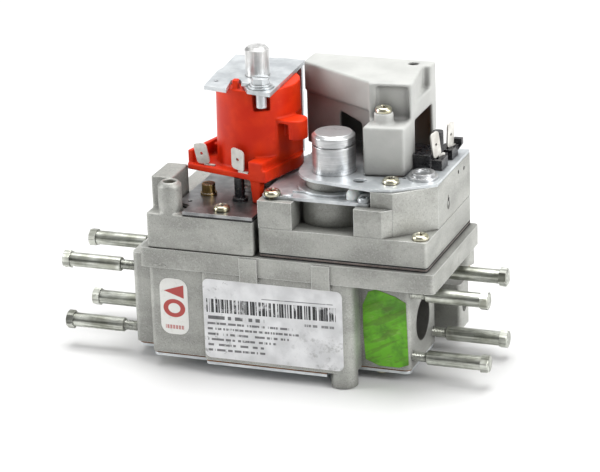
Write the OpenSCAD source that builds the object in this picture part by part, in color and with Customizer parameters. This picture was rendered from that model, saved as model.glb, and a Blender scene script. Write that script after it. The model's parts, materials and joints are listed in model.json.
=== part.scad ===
// Combination gas control valve for a boiler burner: a die-cast body with a
// solenoid shut-off valve on the inlet side and a servo pressure regulator
// with its own coil on the outlet side.
// X runs along the gas flow, Z is up towards the coils.
// The origin is the centre of the inlet port's mouth.

/* [Body and ports] */
// Length from the inlet face to the outlet face
body_l = 142; // [130:1:155]
// Width of the two end faces
end_w = 41; // [40:0.5:46]
// Depth of the casting below the port axis
body_drop = 19; // [18:0.5:22]
// Bore of the inlet and outlet ports
port_d = 20.6; // [16:0.1:22]
// Length of each round port
port_l = 26; // [22:1:28]
// Wall thickness inside the casting
cast_wall = 3.2; // [2.6:0.1:3.6]
// Left end of the deep middle block
block_x0 = 12.5; // [10:0.5:14]
// Front of the middle block, ahead of the port axis
block_front = 30; // [28:0.5:31]
// Rear of the middle block, behind the port axis
block_back = 30; // [28:0.5:32]
// Left end of the label pad
pad_x0 = 41.5; // [38:0.5:46]
// How far the label pad stands out of the block
pad_rise = 3.6; // [2:0.2:3.8]
// Diameter of the pillar that carries the foot
pillar_d = 13; // [11:0.5:14]
// Position of the pillar along the body
pillar_x = 111; // [109:0.5:114]
// How far the foot reaches below the casting
foot_drop = 7.5; // [6:0.5:9]

/* [Deck flange] */
// Left end of the deck flange
deck_x0 = 10.5; // [8:0.5:12]
// Length of the deck flange
deck_l = 148.2; // [146:0.5:152]
// Front of the deck flange, ahead of the port axis
deck_front = 34.5; // [34.2:0.1:36]
// Rear of the deck flange, behind the port axis
deck_back = 39; // [38.5:0.5:42]
// Underside of the deck flange above the port axis
deck_z0 = 26.6; // [25:0.2:28]
// Thickness of the deck flange
deck_t = 9.8; // [8:0.2:11]

/* [Flange bolts] */
// Hole pitch of the square bolt pattern on each end
bolt_pitch = 32; // [31:0.5:33]
// Height of the pattern's centre above the port axis
bolt_rise = 3; // [2:0.5:4]
// Thread diameter of the flange bolts
bolt_d = 5; // [4:0.5:5]
// Diameter of the plain shank
shank_d = 7; // [6:0.2:7.4]
// Length of bare thread outside the end face
bolt_gap = 7.2; // [5:0.2:9]
// Length of the plain shank
shank_l = 27; // [20:0.5:32]
// Thread engaged in the casting
bolt_in = 11; // [8:0.5:12]
// Width across the flats of the bolt heads
bolt_af = 8; // [7.6:0.1:9]
// Height of the bolt heads
bolt_head_h = 3.8; // [3:0.2:4.4]

/* [Bottom cover] */
// Thickness of the bottom gasket
gasket_t = 0.8; // [0.6:0.1:1.2]
// Thickness of the bottom plate
bottom_t = 1.4; // [1:0.1:2]
// Diameter of the pan screw heads
pan_d = 8; // [7:0.2:8.4]
// Height of the pan screw heads
pan_h = 2.6; // [2:0.1:3]
// Thread diameter of the cover screws
screw_d = 4; // [3:0.1:4]

/* [Shut-off solenoid] */
// Position of the shut-off valve's axis along the body
sol_x = 56.5; // [56:0.5:58]
// Position of the shut-off valve's axis behind the port axis
sol_y = 13; // [12:0.5:14]
// Length of the solenoid's head casting
head_l = 54.5; // [53:0.5:55]
// Height of the head casting
head_h = 17.5; // [16:0.5:19]
// Thickness of the steel base plate
sol_plate_t = 1.5; // [1.2:0.1:2]
// Outer diameter of the moulded coil
coil_d = 42; // [40:0.5:43]
// Height of the moulded coil over its flange
coil_h = 42.5; // [38:0.5:44]
// Turn of the coil about its axis, in degrees
coil_turn = -14; // [-18:1:-10]
// Length of the coil's terminal tray
tray_l = 37; // [35:0.5:39]
// Reach of the tray ahead of the coil's axis
tray_reach = 25; // [24:0.5:26]
// Outer diameter of the core tube
tube_d = 11.6; // [11:0.2:13]
// Wall of the core tube
tube_wall = 1; // [0.8:0.1:1.2]
// Height of the core tube above the yoke
tube_rise = 14.4; // [12:0.2:18]
// Thickness of the yoke sheet
yoke_t = 2; // [1.5:0.1:2.2]
// Lift of the shut-off valve
lift_1 = 3; // [2:0.25:3]
// Diameter of the shut-off valve's seat opening
seat_1_d = 17; // [15:0.5:18]

/* [Regulator] */
// Left end of the regulator
reg_x0 = 71; // [70:0.5:72]
// Length of the regulator
reg_l = 83.8; // [82:0.2:84]
// Front of the regulator, ahead of the port axis
reg_front = 32.3; // [31.5:0.1:33]
// Height of the regulator's base casting
reg_base_h = 12.4; // [11:0.2:14]
// Height of the regulator's upper casting up to the lower plate
reg_low_h = 13.5; // [12:0.5:15]
// Height of the raised part above the lower plate's seat
reg_step_h = 7.9; // [7:0.1:9]
// Thickness of the two steel plates
plate_t = 1.5; // [1.2:0.1:2]
// Position of the adjuster's axis along the body
cap_x = 101.3; // [100:0.5:103]
// Position of the adjuster's axis behind the port axis
cap_y = -6.3; // [-7:0.1:-5]
// Diameter of the adjuster's screw cap
cap_d = 20.7; // [19:0.1:22]
// Height of the adjuster's screw cap
cap_h = 19.2; // [17:0.2:21]
// Diameter of the round spring housing
house_d = 35.2; // [34:0.2:36]
// Position of the main valve's axis along the body
main_x = 106; // [105:0.5:107]
// Position of the main valve's axis behind the port axis
main_y = 2; // [1:0.5:3]
// Diameter of the main valve's seat opening
seat_2_d = 22; // [20:0.5:23]
// Lift of the main valve
lift_2 = 3; // [2:0.25:3]
// Stroke of the adjuster's spring seat
adjust_l = 4; // [3:0.25:4]

/* [Servo coil and cover] */
// Position of the servo valve's axis along the body
servo_x = 118; // [117:0.5:119]
// Position of the servo valve's axis behind the port axis
servo_y = 23; // [22.5:0.5:23.5]
// Outer diameter of the servo coil
servo_coil_d = 23; // [22:0.5:23.5]
// Lift of the servo valve
lift_3 = 1.5; // [1:0.25:1.5]
// Wall of the plastic cover
cover_wall = 2; // [1.6:0.1:2.2]
// Height of the plastic cover
cover_h = 42; // [40.5:0.1:43]
// Slant of the cover's front faces, in degrees
cover_slant = 7.5; // [6:0.5:9]

/* [Terminals] */
// Width of the push-on tabs
tab_w = 6.3; // [4.8:0.1:6.3]
// Thickness of the push-on tabs
tab_t = 0.8; // [0.6:0.1:1]
// Length of the bare tabs
tab_l = 13; // [10:0.5:14]

/* [Hidden] */
$fn = 64;
fit = 0.05;      // radial clearance of parts that fit or slide in a bore
gap = 0.3;       // clearance between neighbours that don't touch
sheet = 0.2;     // thickness of the label, sticker and tape

end_f = end_w / 2;
bottom_z = -body_drop;
deck_z = deck_z0 + deck_t;
deck_x1 = deck_x0 + deck_l;
pad_front = block_front + pad_rise;
pillar_y = -(pad_front - pillar_d / 2);
pad_x1 = pillar_x + 3;
pad_z0 = bottom_z;
pad_z1 = deck_z0 - 2.6;
foot_z = bottom_z - foot_drop;
flange_lug_at = [pad_x0 + 20.5, pad_x0 + 57]; // left ends of the two lugs under the flange
floor_t = 4;                       // partition that carries both valve seats
floor_z = 6;                       // underside of the partition
seat_rim = 1.2;                    // raised rim round each seat
seat_z = floor_z + floor_t + seat_rim;
roof_z = deck_z0 + 2;              // ceiling of the chamber over both seats
sump_x0 = port_l + 2;
sump_x1 = sol_x + seat_1_d / 2 + 10;
well_x0 = sump_x1 + cast_wall + 2;
well_x1 = body_l - port_l;
well_y = end_f - cast_wall;
outlet_l = 12;                     // depth of the round outlet port, clear of the main chamber
duct_w = 14;                       // duct from the well to that port

screen_x0 = sump_x0 + 0.7;
screen_t = 1.2;
screen_w = 23;

plate_z = bottom_z - gasket_t;
small_d = screw_d - 1;              // thread of the regulator's and cover's screws
small_in = 7;                       // reach of those screws
sol_screw_in = 8;                   // reach of the solenoid's screws
bottom_screw_at = [
  [block_x0 + 7.5, -22], [block_x0 + 7.5, 22], [sump_x1 + 3, 24],
  [body_l - 16, -14], [body_l - 16, 14]
];
bottom_screw_in = 9;

head_x0 = reg_x0 - 2 - head_l;
head_x1 = head_x0 + head_l;
head_front = deck_front - 0.6;
head_back = deck_back - 1;
head_z = deck_z + head_h;
sol_gasket_z = head_z;
sol_plate_z = sol_gasket_z + gasket_t;
sol_top = sol_plate_z + sol_plate_t;
tap_x = head_x0 + 10.8;
tap_y = -(head_front - 5.9);
tap_d = 11.5;
tap_z = head_z + 15.3;
tap_bore_d = 6;
tap_hole_d = 2.5;
tap_depth = 13;
tap_crown = 2;                      // turned-off corner at the nipple's mouth
tower_w = 10;
tower_y0 = -23;
tower_y1 = -1.5;
tower_h = 15;
sol_plate_x0 = head_x0 + 12;
sol_plate_cut = sol_plate_x0 + 7;
pan_screw_1 = [head_x0 + 36.5, -(head_front - 7.4)];
tall_screw = [head_x0 + 22, -6.5];
rear_screw_1 = [head_x0 + 22, head_back - 8];
sol_screws = [pan_screw_1, rear_screw_1];
post_at = [sol_x - 2.3, sol_y - 23.5];
post_d = 5;

tray_z = sol_top + 11.3;
yoke_z0 = tray_z - yoke_t;
coil_z1 = tray_z + coil_h;
tube_z1 = coil_z1 + yoke_t + tube_rise;
tube_r = tube_d / 2;
core_r = tube_r - tube_wall;
collar_d = tube_d + 9;
tray_x0 = -26;
tray_x1 = tray_x0 + tray_l;
leg_h = tray_z - sol_top;
earth_pocket_d = 8;
earth_pocket_h = 10;
groove_x = 18;                      // flat of the groove below the lug
winding_wall = 2;
winding_r0 = tube_r + fit + 2;
winding_r1 = groove_x - winding_wall;
winding_z0 = tray_z + 4;
winding_z1 = coil_z1 - earth_pocket_h - 1.5;
lug_x = 24.4;
lug_y = -5;
lug_d = 12;
lug_z0 = tray_z + 18.4;
lug_h = 9.5;
coil_draft = 1.4;                   // how much narrower the moulding is at its top
earth_at = [8.6, -18.4];
earth_d = 5;
yoke_front = 25.3;
yoke_back = 29.6;
yoke_x0 = -22.8;
yoke_x1 = 13.8;
yoke_leg_x0 = -12;
yoke_leg_x1 = 12.6;
plunger_r = core_r - fit;
disc_1_d = seat_1_d + 5;
disc_1_t = 3;
plunger_z0 = seat_z + disc_1_t;
pole_z0 = tray_z + 26;
plunger_z1 = pole_z0 - lift_1 - 1;
spring_1_d = 5.6;
spring_1_depth = 10;

servo_tube_d = 9;
reg_x1 = reg_x0 + reg_l;
reg_back = deck_back;
membrane_t = 0.8;
carrier_t = 0.7;
reg_z0 = deck_z + 2 * membrane_t + carrier_t;
reg_z1 = reg_z0 + reg_base_h;
reg_z2 = reg_z1 + reg_low_h;
reg_z3 = reg_z2 + reg_step_h;
reg_top = reg_z3 + plate_t;
reg_block_x1 = reg_x0 + 17.3;
reg_recess_x1 = reg_x0 + 48.2;
reg_knee_x = reg_x0 + 62;
reg_knee_y = -12.5;
step_x0 = reg_x0 + 55.5;
step_front = 28.4;
shelf_x0 = servo_x - servo_tube_d - 8; // left end of the raised part behind the spring housing
shelf_y0 = servo_y - servo_tube_d;
recess_y1 = cap_y;
house_r = house_d / 2;

main_r = 23;                        // radius of the main diaphragm's working area
rear_block_x1 = main_x + main_r - 5; // the casting is wider there, round the chamber
bead_w = 3;                         // clamped rim outside the working area
main_plate_d = 38;
main_plate_t = 1.8;
stem_d = 8;
disc_2_d = seat_2_d + 6;
disc_2_t = 2.4;
main_plate_z = reg_z0 + 0.5;
main_spring_z0 = main_plate_z + main_plate_t;
main_spring_d = 24;
main_spring_top_d = 14;
main_boss_h = 1.5;                  // boss that centres the spring
main_spring_z1 = main_spring_z0 + main_boss_h + lift_2 + 2.6;

govern_r = house_r - 5;             // radius of the governor chamber
govern_plate_d = 20;
govern_t = 0.8;
govern_plate_t = 1.7;
govern_rise = 1.2;                  // how far the governor's centre stands above its rim
govern_lift = 1;
govern_plate_z = reg_z1 + govern_rise + govern_t;
govern_spring_z0 = govern_plate_z + govern_plate_t;
govern_roof = govern_spring_z0 + govern_lift + 2.8; // ceiling of the governor chamber
govern_spring_d = 13;
neck_d = house_d - 8;
upper_r = house_r - 0.6;            // round end of the upper plate
neck_bore = 16.6;
web_z = reg_z3 + 0.5;               // underside of the web that holds the adjuster
web_t = 3;
stub_d = cap_d - 2.3;               // stub that the cap screws onto
stub_z1 = web_z + web_t + 8;
adjuster_d = 6;
collar_h = 2;
collar_z = web_z - gap - collar_h;
hub_h = 1.6;
seat_t = 2.4;
seat_top = collar_z - gap - hub_h;
seat_bottom = seat_top - seat_t;
adjuster_z0 = seat_bottom - adjust_l - 1; // the thread reaches the seat over its whole stroke

cover_x = 127;
cover_y = -10;
cover_z = reg_top;
cover_z1 = cover_z + cover_h;
post_w = 19.6;
ledge_z = cover_z + 24.2;
hood_z0 = cover_z + 27.3;
hood_x0 = 116.4;                    // front left corner of the hood
hood_x1 = 137;                      // right side of the cover
hood_y0 = cover_y + 14.6;           // front of the hood on the tower's line
hood_back = 42.6;
hood_left = 74.9;                   // left corner, where the slanting wall ends
hood_left_y = 27.7;
boss_at = [cover_x - 1.6, cover_y + 7.2];
tower_d = 9.4;
tower_top = ledge_z + 5.6;
skirt_in = 1.8;                     // the skirt stands back from the hood's edge
frame_rise = 2;                     // frame round the recessed front panel
side_top = 96.6;                    // top of the opening for the terminal block
side_y = [9, 36.4];
grip_y = 34.4;                      // rear end of the finger recess
grip_in = 4;
grip_z = 105;
back_lip = 6;                       // the rear wall reaches down behind the castings
top_hole_at = [hood_x1 - 9.5, hood_back - 5.4];
top_hole_d = 5;
slot_x1 = hood_x1 - post_w - 7;     // right side of the opening beside the post
slot_w = 13.4;

servo_z0 = reg_top;
servo_coil_z0 = servo_z0 + 2;
servo_coil_h = 30;
servo_tube_z1 = servo_coil_z0 + servo_coil_h + 3;
servo_core_r = servo_tube_d / 2 - 0.8;
servo_seat_z = reg_z2 - 6;
servo_plunger_z0 = servo_seat_z + 1.6;
servo_plunger_z1 = servo_coil_z0 + 17;
servo_pole_z0 = servo_plunger_z1 + lift_3 + 1;
term_x1 = reg_x1 - 2;
term_x0 = hood_x1 + gap;
term_z1 = servo_z0 + 5;
term_y0 = 3.6;
term_y1 = 33;
tab_x = term_x1 - 4.8;
tab_at = [9.5, 26];

reg_screw_at = [reg_x1 - 4.5, -(reg_front - 5.2)];
low_screw_at = [reg_x0 + 6, -(reg_front - 6)];
top_screw_at = [reg_x0 + 62.2, -(reg_front - 14.7)];
silver_screw_at = [reg_x0 + 51.2, -(reg_front - 7.9)];
button_at = [reg_x0 + 44.8, -(reg_front - 10.4)];
button_d = 6.4;
upper_hole_at = [reg_x0 + 47, -(reg_front - 14.5)];
upper_hole_d = 6.4;
plug_at = [reg_x1 - 9.3, reg_knee_y + 6];
plug_d = 8;
plug_in = 6;
low_front = reg_front - 4.6;
side_pits = [[4, reg_z3 - 12], [20, reg_z3 - 3.6], [29, reg_z3 - 4.6]];
rivet_at = [low_screw_at[0] + 7, low_screw_at[1] + 1.5];

side_x1 = body_l + 10.5;
side_y0 = end_f + 6.5;
side_y1 = side_y0 + 15;
side_z0 = bottom_z + 3;
side_z1 = 8;
side_bore_d = 8.6;
side_bore_l = 12;
side_bore_y = (side_y0 + side_y1) / 2;
side_bore_z = (side_z0 + side_z1) / 2;
rear_boss_at = [deck_x1 - 6.5, deck_back - 6];
rear_boss_h = 9;
rear_boss_d = 11;

label_x0 = pad_x0 + 0.8;
label_x1 = pad_x1 - 1;
label_z0 = pad_z0 + 1.6;
label_z1 = pad_z1 - 0.8;
sticker_x0 = 18.2;
sticker_w = 14.6;
sticker_z0 = -9;
sticker_h = 29;
tape_x0 = pillar_x + pillar_d / 2 + 1.2;
tape_x1 = body_l - 0.8;
tape_z0 = bottom_z + 1;
tape_z1 = deck_z0 - 5.6;

// ---- helpers ----

module box(x0, x1, y0, y1, z0, z1) {
  translate([x0, y0, z0]) cube([x1 - x0, y1 - y0, z1 - z0]);
}

module rod(x, y, z0, z1, d) {
  translate([x, y, z0]) cylinder(h = z1 - z0, d = d);
}

// Rectangle with round corners, drawn flat
module round_rect(x0, x1, y0, y1, r) {
  translate([x0 + r, y0]) square([x1 - x0 - 2 * r, y1 - y0]);
  translate([x0, y0 + r]) square([x1 - x0, y1 - y0 - 2 * r]);
  for (x = [x0 + r, x1 - r], y = [y0 + r, y1 - r]) translate([x, y]) circle(r);
}

module round_box(x0, x1, y0, y1, z0, z1, r) {
  translate([0, 0, z0]) linear_extrude(z1 - z0) round_rect(x0, x1, y0, y1, r);
}

module ring(x, y, z0, z1, d, bore) {
  translate([x, y, z0]) difference() {
    cylinder(h = z1 - z0, d = d);
    translate([0, 0, -1]) cylinder(h = z1 - z0 + 2, d = bore);
  }
}

// Round stock along X, from x0 to x1
module bar_x(x0, x1, y, z, d) {
  translate([x0, y, z]) rotate([0, 90, 0]) cylinder(h = x1 - x0, d = d);
}

// Pan head screw standing on z, its thread going down
module pan_screw(x, y, z, d, h, thread, reach) {
  difference() {
    union() {
      rod(x, y, z, z + h * 0.6, d);
      translate([x, y, z + h * 0.6]) cylinder(h = h * 0.4, d1 = d, d2 = d * 0.72, $fn = 48);
      rod(x, y, z - reach, z + 0.5, thread);
    }
    for (a = [0, 90]) translate([x, y, z + h]) rotate(a + 35) cube([d * 0.55, 1, 2.2], center = true);
  }
}

// Helical spring of round wire between z0 and z1; its top end may be narrower
module coil_spring(x, y, z0, z1, d, wire, turns, top_d = 0) {
  steps = turns * 16;
  rise = (z1 - z0 - wire) / steps;
  taper = (top_d > 0 ? d - top_d : 0) / steps;
  points = [for (i = [0:steps], s = [0:5])
    let (a = i * 22.5, b = s * 60, r = (d - i * taper - wire) / 2 + wire / 2 * cos(b))
    [x + r * cos(a), y + r * sin(a), z0 + wire / 2 + i * rise + wire / 2 * sin(b)]];
  sides = [for (i = [0:steps - 1], s = [0:5])
    [i * 6 + s, i * 6 + (s + 1) % 6, (i + 1) * 6 + (s + 1) % 6, (i + 1) * 6 + s]];
  ends = [[for (s = [5:-1:0]) s], [for (s = [0:5]) steps * 6 + s]];
  polyhedron(points, concat(sides, ends), convexity = 6);
}

// Places what follows on the shut-off valve's axis
module on_axis() {
  translate([sol_x, sol_y, 0]) children();
}

// The same, turned as the moulded coil is
module at_coil() {
  on_axis() rotate(coil_turn) children();
}

// Push-on tab standing up from z, its width along X, with a small hole
module tab_up(length) {
  difference() {
    union() {
      translate([-tab_w / 2, -tab_t / 2, 0]) cube([tab_w, tab_t, length - 1.5]);
      translate([-tab_w / 2 + 1.2, -tab_t / 2, 0]) cube([tab_w - 2.4, tab_t, length]);
    }
    translate([0, 0, length * 0.55]) rotate([90, 0, 0]) cylinder(h = 4, d = 1.7, center = true);
  }
}

// ---- body ----

module body_outline_solid() {
  round_box(0, body_l, -end_f, end_f, bottom_z, deck_z0 + 1, 3);
  round_box(block_x0, pillar_x, -block_front, block_back, bottom_z, deck_z0 + 1, 3);
  round_box(block_x0, rear_block_x1, 0, block_back, bottom_z, deck_z0 + 1, 3);
  round_box(pad_x0, pad_x1, -pad_front, 0, pad_z0, deck_z0 + 1, 2);
  rod(pillar_x, pillar_y, foot_z, deck_z0 + 1, pillar_d);
  box(pillar_x - pillar_d / 2, pillar_x + pillar_d / 2, pillar_y, 0, bottom_z, deck_z0 + 1);
  round_box(deck_x0, deck_x1, -deck_front, deck_back, deck_z0, deck_z, 2.5);
  for (x = flange_lug_at) box(x, x + 9, -deck_front - 0.8, 0, pad_z1 - 0.3, deck_z - 0.7);
  box(pillar_x, body_l - bolt_in / 2, end_f - 8, side_y0 + 2, side_z0, side_z1);
  round_box(body_l - 12, side_x1, side_y0, side_y1, side_z0, side_z1, 2);
  rod(rear_boss_at[0], rear_boss_at[1], deck_z0 - rear_boss_h, deck_z0 + 1, rear_boss_d);
}

module body_passages() {
  bar_x(-1, sump_x0 + 0.5, 0, 0, port_d);
  bar_x(body_l - outlet_l, body_l + 1, 0, 0, port_d);
  box(well_x1 - 1, body_l - outlet_l + 1, -duct_w / 2, duct_w / 2, -duct_w / 2 - 0.5, floor_z);
  box(sump_x0, sump_x1, -well_y - 4, block_back - cast_wall, bottom_z - 1, floor_z);
  box(well_x0, well_x1, -well_y, well_y, bottom_z - 1, floor_z);
  box(head_x0 + 16, pillar_x - 2, -well_y - 6, block_back - cast_wall, floor_z + floor_t, roof_z);
  rod(sol_x, sol_y, floor_z + floor_t, deck_z + 1, disc_1_d + 4);
  rod(main_x, main_y, floor_z + floor_t, deck_z + 1, 2 * main_r);
}

module valve_body() color("#a9aaa6") {
  difference() {
    union() {
      difference() {
        body_outline_solid();
        body_passages();
      }
      ring(sol_x, sol_y, floor_z, seat_z, seat_1_d + 3, seat_1_d);
      ring(main_x, main_y, floor_z, seat_z, seat_2_d + 3, seat_2_d);
    }
    rod(sol_x, sol_y, floor_z - 1, seat_z + 1, seat_1_d);
    rod(main_x, main_y, floor_z - 1, seat_z + 1, seat_2_d);
    for (y = [-1, 1], z = [-1, 1]) {
      bar_x(-1, bolt_in + 1, y * bolt_pitch / 2, bolt_rise + z * bolt_pitch / 2, bolt_d + 2 * fit);
      bar_x(body_l - bolt_in - 1, body_l + 1, y * bolt_pitch / 2, bolt_rise + z * bolt_pitch / 2,
        bolt_d + 2 * fit);
    }
    for (p = bottom_screw_at)
      rod(p[0], p[1], bottom_z - 1, bottom_z + bottom_screw_in + 1, screw_d + 2 * fit);
    bar_x(side_x1 - side_bore_l, side_x1 + 1, side_bore_y, side_bore_z, side_bore_d);
    rod(rear_boss_at[0], rear_boss_at[1], deck_z0 - rear_boss_h - 1, deck_z0, screw_d + 2 * fit);
  }
}

// Bolt along X with its head at the far end; side is 1 at the outlet, -1 at the inlet
module flange_bolt(side) {
  mirror([side < 0 ? 1 : 0, 0, 0]) {
    bar_x(-bolt_in, bolt_gap + 0.5, 0, 0, bolt_d);
    bar_x(bolt_gap, bolt_gap + shank_l, 0, 0, shank_d);
    translate([bolt_gap + shank_l, 0, 0]) rotate([0, 90, 0]) rotate(30)
      cylinder(h = bolt_head_h, d = bolt_af / cos(30), $fn = 6);
  }
}

module flange_bolts(x, side) {
  for (y = [-1, 1], z = [-1, 1])
    translate([x, y * bolt_pitch / 2, bolt_rise + z * bolt_pitch / 2]) flange_bolt(side);
}

module inlet_bolts() color("#c9ccc6") flange_bolts(0, -1);

module outlet_bolts() color("#c9ccc6") flange_bolts(body_l, 1);

// Outline of the bottom cover; grow makes it larger all round
module bottom_outline() {
  difference() {
    union() {
      round_rect(1.5, body_l - 0.6, -end_f + 0.4, end_f - 0.4, 2.6);
      round_rect(block_x0 + 0.4, pillar_x, -block_front + 0.5, block_back - 0.5, 3);
      round_rect(pad_x0 + 0.5, pillar_x - 1, -pad_front + 0.2, 0, 2);
    }
    translate([pillar_x, pillar_y]) circle(d = pillar_d + 2 * gap);
    translate([pillar_x - pillar_d / 2 - gap, -pad_front - 5])
      square([pillar_d + 2 * gap, pad_front + 5 + pillar_y]);
  }
}

module bottom_sheet(z0, z1, hole) {
  translate([0, 0, z0]) linear_extrude(z1 - z0) difference() {
    bottom_outline();
    for (p = bottom_screw_at) translate(p) circle(d = hole);
  }
}

module bottom_gasket() color("#6b4526") bottom_sheet(plate_z, bottom_z, screw_d + 2 * gap);

module bottom_plate() color("#c9cac4") bottom_sheet(plate_z - bottom_t, plate_z, screw_d + 2 * gap);

module bottom_screws() color("#bfae6a")
  for (p = bottom_screw_at) translate([0, 0, 2 * (plate_z - bottom_t)]) mirror([0, 0, 1])
    pan_screw(p[0], p[1], plate_z - bottom_t, pan_d, pan_h * 0.85, screw_d,
      bottom_screw_in + gasket_t + bottom_t);

// Perforated sheet over the inlet's way into the sump
module inlet_screen() color("#b8b8b0") difference() {
  box(screen_x0, screen_x0 + screen_t, -screen_w / 2, screen_w / 2, floor_z - gap - screen_w, floor_z - gap);
  for (y = [-3:3], z = [-3:3])
    translate([screen_x0 - 1, 3 * y - 1, floor_z - gap - screen_w / 2 + 3 * z - 1])
      cube([screen_t + 2, 2, 2]);
}

// ---- shut-off solenoid ----

module head_casting() color("#a3a39f") difference() {
  union() {
    round_box(head_x0, head_x1, -head_front, head_back, deck_z, head_z, 1.6);
    rod(tap_x, tap_y, deck_z, tap_z - tap_crown, tap_d);
    translate([tap_x, tap_y, tap_z - tap_crown]) cylinder(h = tap_crown, d1 = tap_d, d2 = tap_d - 3.2);
    round_box(head_x0 - 1, head_x0 + tower_w, tower_y0, tower_y1, deck_z, head_z + tower_h, 1);
  }
  rod(sol_x, sol_y, deck_z - 1, head_z + 1, disc_1_d + 4);
  rod(tap_x, tap_y, tap_z - tap_depth, tap_z + 1, tap_bore_d);
  rod(tap_x, tap_y, deck_z - 1, tap_z, tap_hole_d);
  for (p = concat(sol_screws, [tall_screw]))
    rod(p[0], p[1], sol_top - sol_screw_in - 1, head_z + 1, screw_d + 2 * fit);
}

module tap_screw() color("#b9a45c") difference() {
  union() {
    rod(tap_x, tap_y, tap_z - tap_depth + 0.8, tap_z - 3, tap_bore_d - 2 * fit);
    translate([tap_x, tap_y, tap_z - tap_depth])
      cylinder(h = 0.8, d1 = tap_hole_d, d2 = tap_bore_d - 2 * fit);
  }
  translate([tap_x, tap_y, tap_z - 3]) cube([tap_bore_d + 1, 1.1, 3], center = true);
}

module solenoid_sheet(z0, z1, back) {
  translate([0, 0, z0]) linear_extrude(z1 - z0) difference() {
    polygon([
      [sol_plate_cut, -head_front + 0.3], [head_x1, -head_front + 0.3], [head_x1, back],
      [sol_plate_x0, back], [sol_plate_x0, tower_y0 + 2.5], [sol_plate_cut, tower_y0 - 1]
    ]);
    translate([sol_x, sol_y]) circle(d = tube_d + 2 * fit);
    for (p = concat(sol_screws, [tall_screw])) translate(p) circle(d = screw_d + 2 * gap);
  }
}

module solenoid_gasket() color("#2b2a29") solenoid_sheet(sol_gasket_z, sol_plate_z, head_back - 4);

module solenoid_plate() color("#8d8e90") difference() {
  solenoid_sheet(sol_plate_z, sol_top, head_back - 3);
  rod(sol_plate_x0 + 5, tower_y0 + 4.5, sol_plate_z - 1, sol_top + 1, 2.4);
}

module solenoid_screws() color("#c2b06c")
  for (p = sol_screws) pan_screw(p[0], p[1], sol_top, pan_d, pan_h, screw_d, sol_screw_in);

module tall_screw() color("#8a6a2c") difference() {
  union() {
    rod(tall_screw[0], tall_screw[1], sol_top, sol_top + 1.2, pan_d);
    rod(tall_screw[0], tall_screw[1], sol_top, sol_top + 5.6, pan_d - 1.4);
    rod(tall_screw[0], tall_screw[1], sol_top - sol_screw_in, sol_top + 1, screw_d);
  }
  translate([tall_screw[0], tall_screw[1], sol_top + 5.6]) cube([pan_d, 1.1, 2.4], center = true);
}

module coil_post() color("#2a2a2c") {
  rod(post_at[0], post_at[1], sol_top, tray_z, post_d);
  rod(post_at[0], post_at[1], sol_top, sol_top + 1.4, post_d + 2.4);
}

module core_tube() color("#c4c6c8") difference() {
  union() {
    rod(sol_x, sol_y, sol_gasket_z - 3, tube_z1 - 1.4, tube_d);
    translate([sol_x, sol_y, tube_z1 - 1.4]) cylinder(h = 1.4, d1 = tube_d, d2 = tube_d - 2.6);
    rod(sol_x, sol_y, sol_top, sol_top + 2, collar_d + 5);
    rod(sol_x, sol_y, sol_top, yoke_z0, collar_d);
  }
  rod(sol_x, sol_y, sol_gasket_z - 4, tube_z1 - 3, 2 * core_r);
}

module pole_piece() color("#9a9c9e") rod(sol_x, sol_y, pole_z0, tube_z1 - 3, 2 * core_r - 2 * fit);

module shutoff_plunger() color("#b4b6b8") difference() {
  union() {
    rod(sol_x, sol_y, plunger_z0, plunger_z1, 2 * plunger_r);
    rod(sol_x, sol_y, plunger_z0, plunger_z0 + 1.5, disc_1_d - 4);
  }
  rod(sol_x, sol_y, plunger_z1 - spring_1_depth, plunger_z1 + 1, spring_1_d + 2 * gap);
}

module shutoff_disc() color("#1d1d1e") rod(sol_x, sol_y, seat_z, plunger_z0, disc_1_d);

module shutoff_spring() color("#d0d2d4")
  coil_spring(sol_x, sol_y, plunger_z1 - spring_1_depth, pole_z0, spring_1_d, 0.9, 8);

module coil_yoke() color("#b9bcbd") on_axis() difference() {
  union() {
    translate([0, 0, coil_z1]) linear_extrude(yoke_t) difference() {
      polygon([
        [yoke_x0 + 4, -yoke_front + 2.7], [-6.5, -yoke_front], [-9.4, -11.1], [-5.8, -8.6],
        [3.8, -yoke_front + 1], [yoke_x1 + 2.4, -yoke_front - 1.4], [yoke_x1, yoke_back - 1],
        [0.2, yoke_back], [-1, yoke_back - 1.9], [yoke_x0, yoke_back],
        [yoke_x0 + 2.2, 6.3], [yoke_x0 + 1.2, 3]
      ]);
      translate(earth_at) circle(d = earth_d + 2 * fit);
      translate([-15.6, -14.4]) circle(d = 2.2);
    }
    box(yoke_leg_x0, yoke_leg_x1, yoke_back - yoke_t - 1, yoke_back - 1, yoke_z0, coil_z1 + yoke_t);
    box(yoke_leg_x0, yoke_leg_x1, -7, yoke_back - 1, yoke_z0, tray_z);
  }
  rod(0, 0, yoke_z0 - 1, coil_z1 + yoke_t + 1, tube_d + 2 * fit);
}

module earth_screw() color("#c6c8ca") on_axis() translate([earth_at[0], earth_at[1], coil_z1 + yoke_t]) {
  difference() {
    union() {
      cylinder(h = 0.9, d = 12.4);
      translate([0, 0, 0.9]) cylinder(h = 1, d = 10.4);
      translate([0, 0, 1.9]) cylinder(h = 3, d = 8 / cos(30), $fn = 6);
    }
    translate([0, 0, 5]) cube([12, 1.2, 2], center = true);
  }
  translate([0, 0, -yoke_t - 8]) cylinder(h = yoke_t + 8.6, d = earth_d);
  translate([-9.6, -0.8, 0]) cube([4, 1.6, 1.6]);
}

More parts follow.
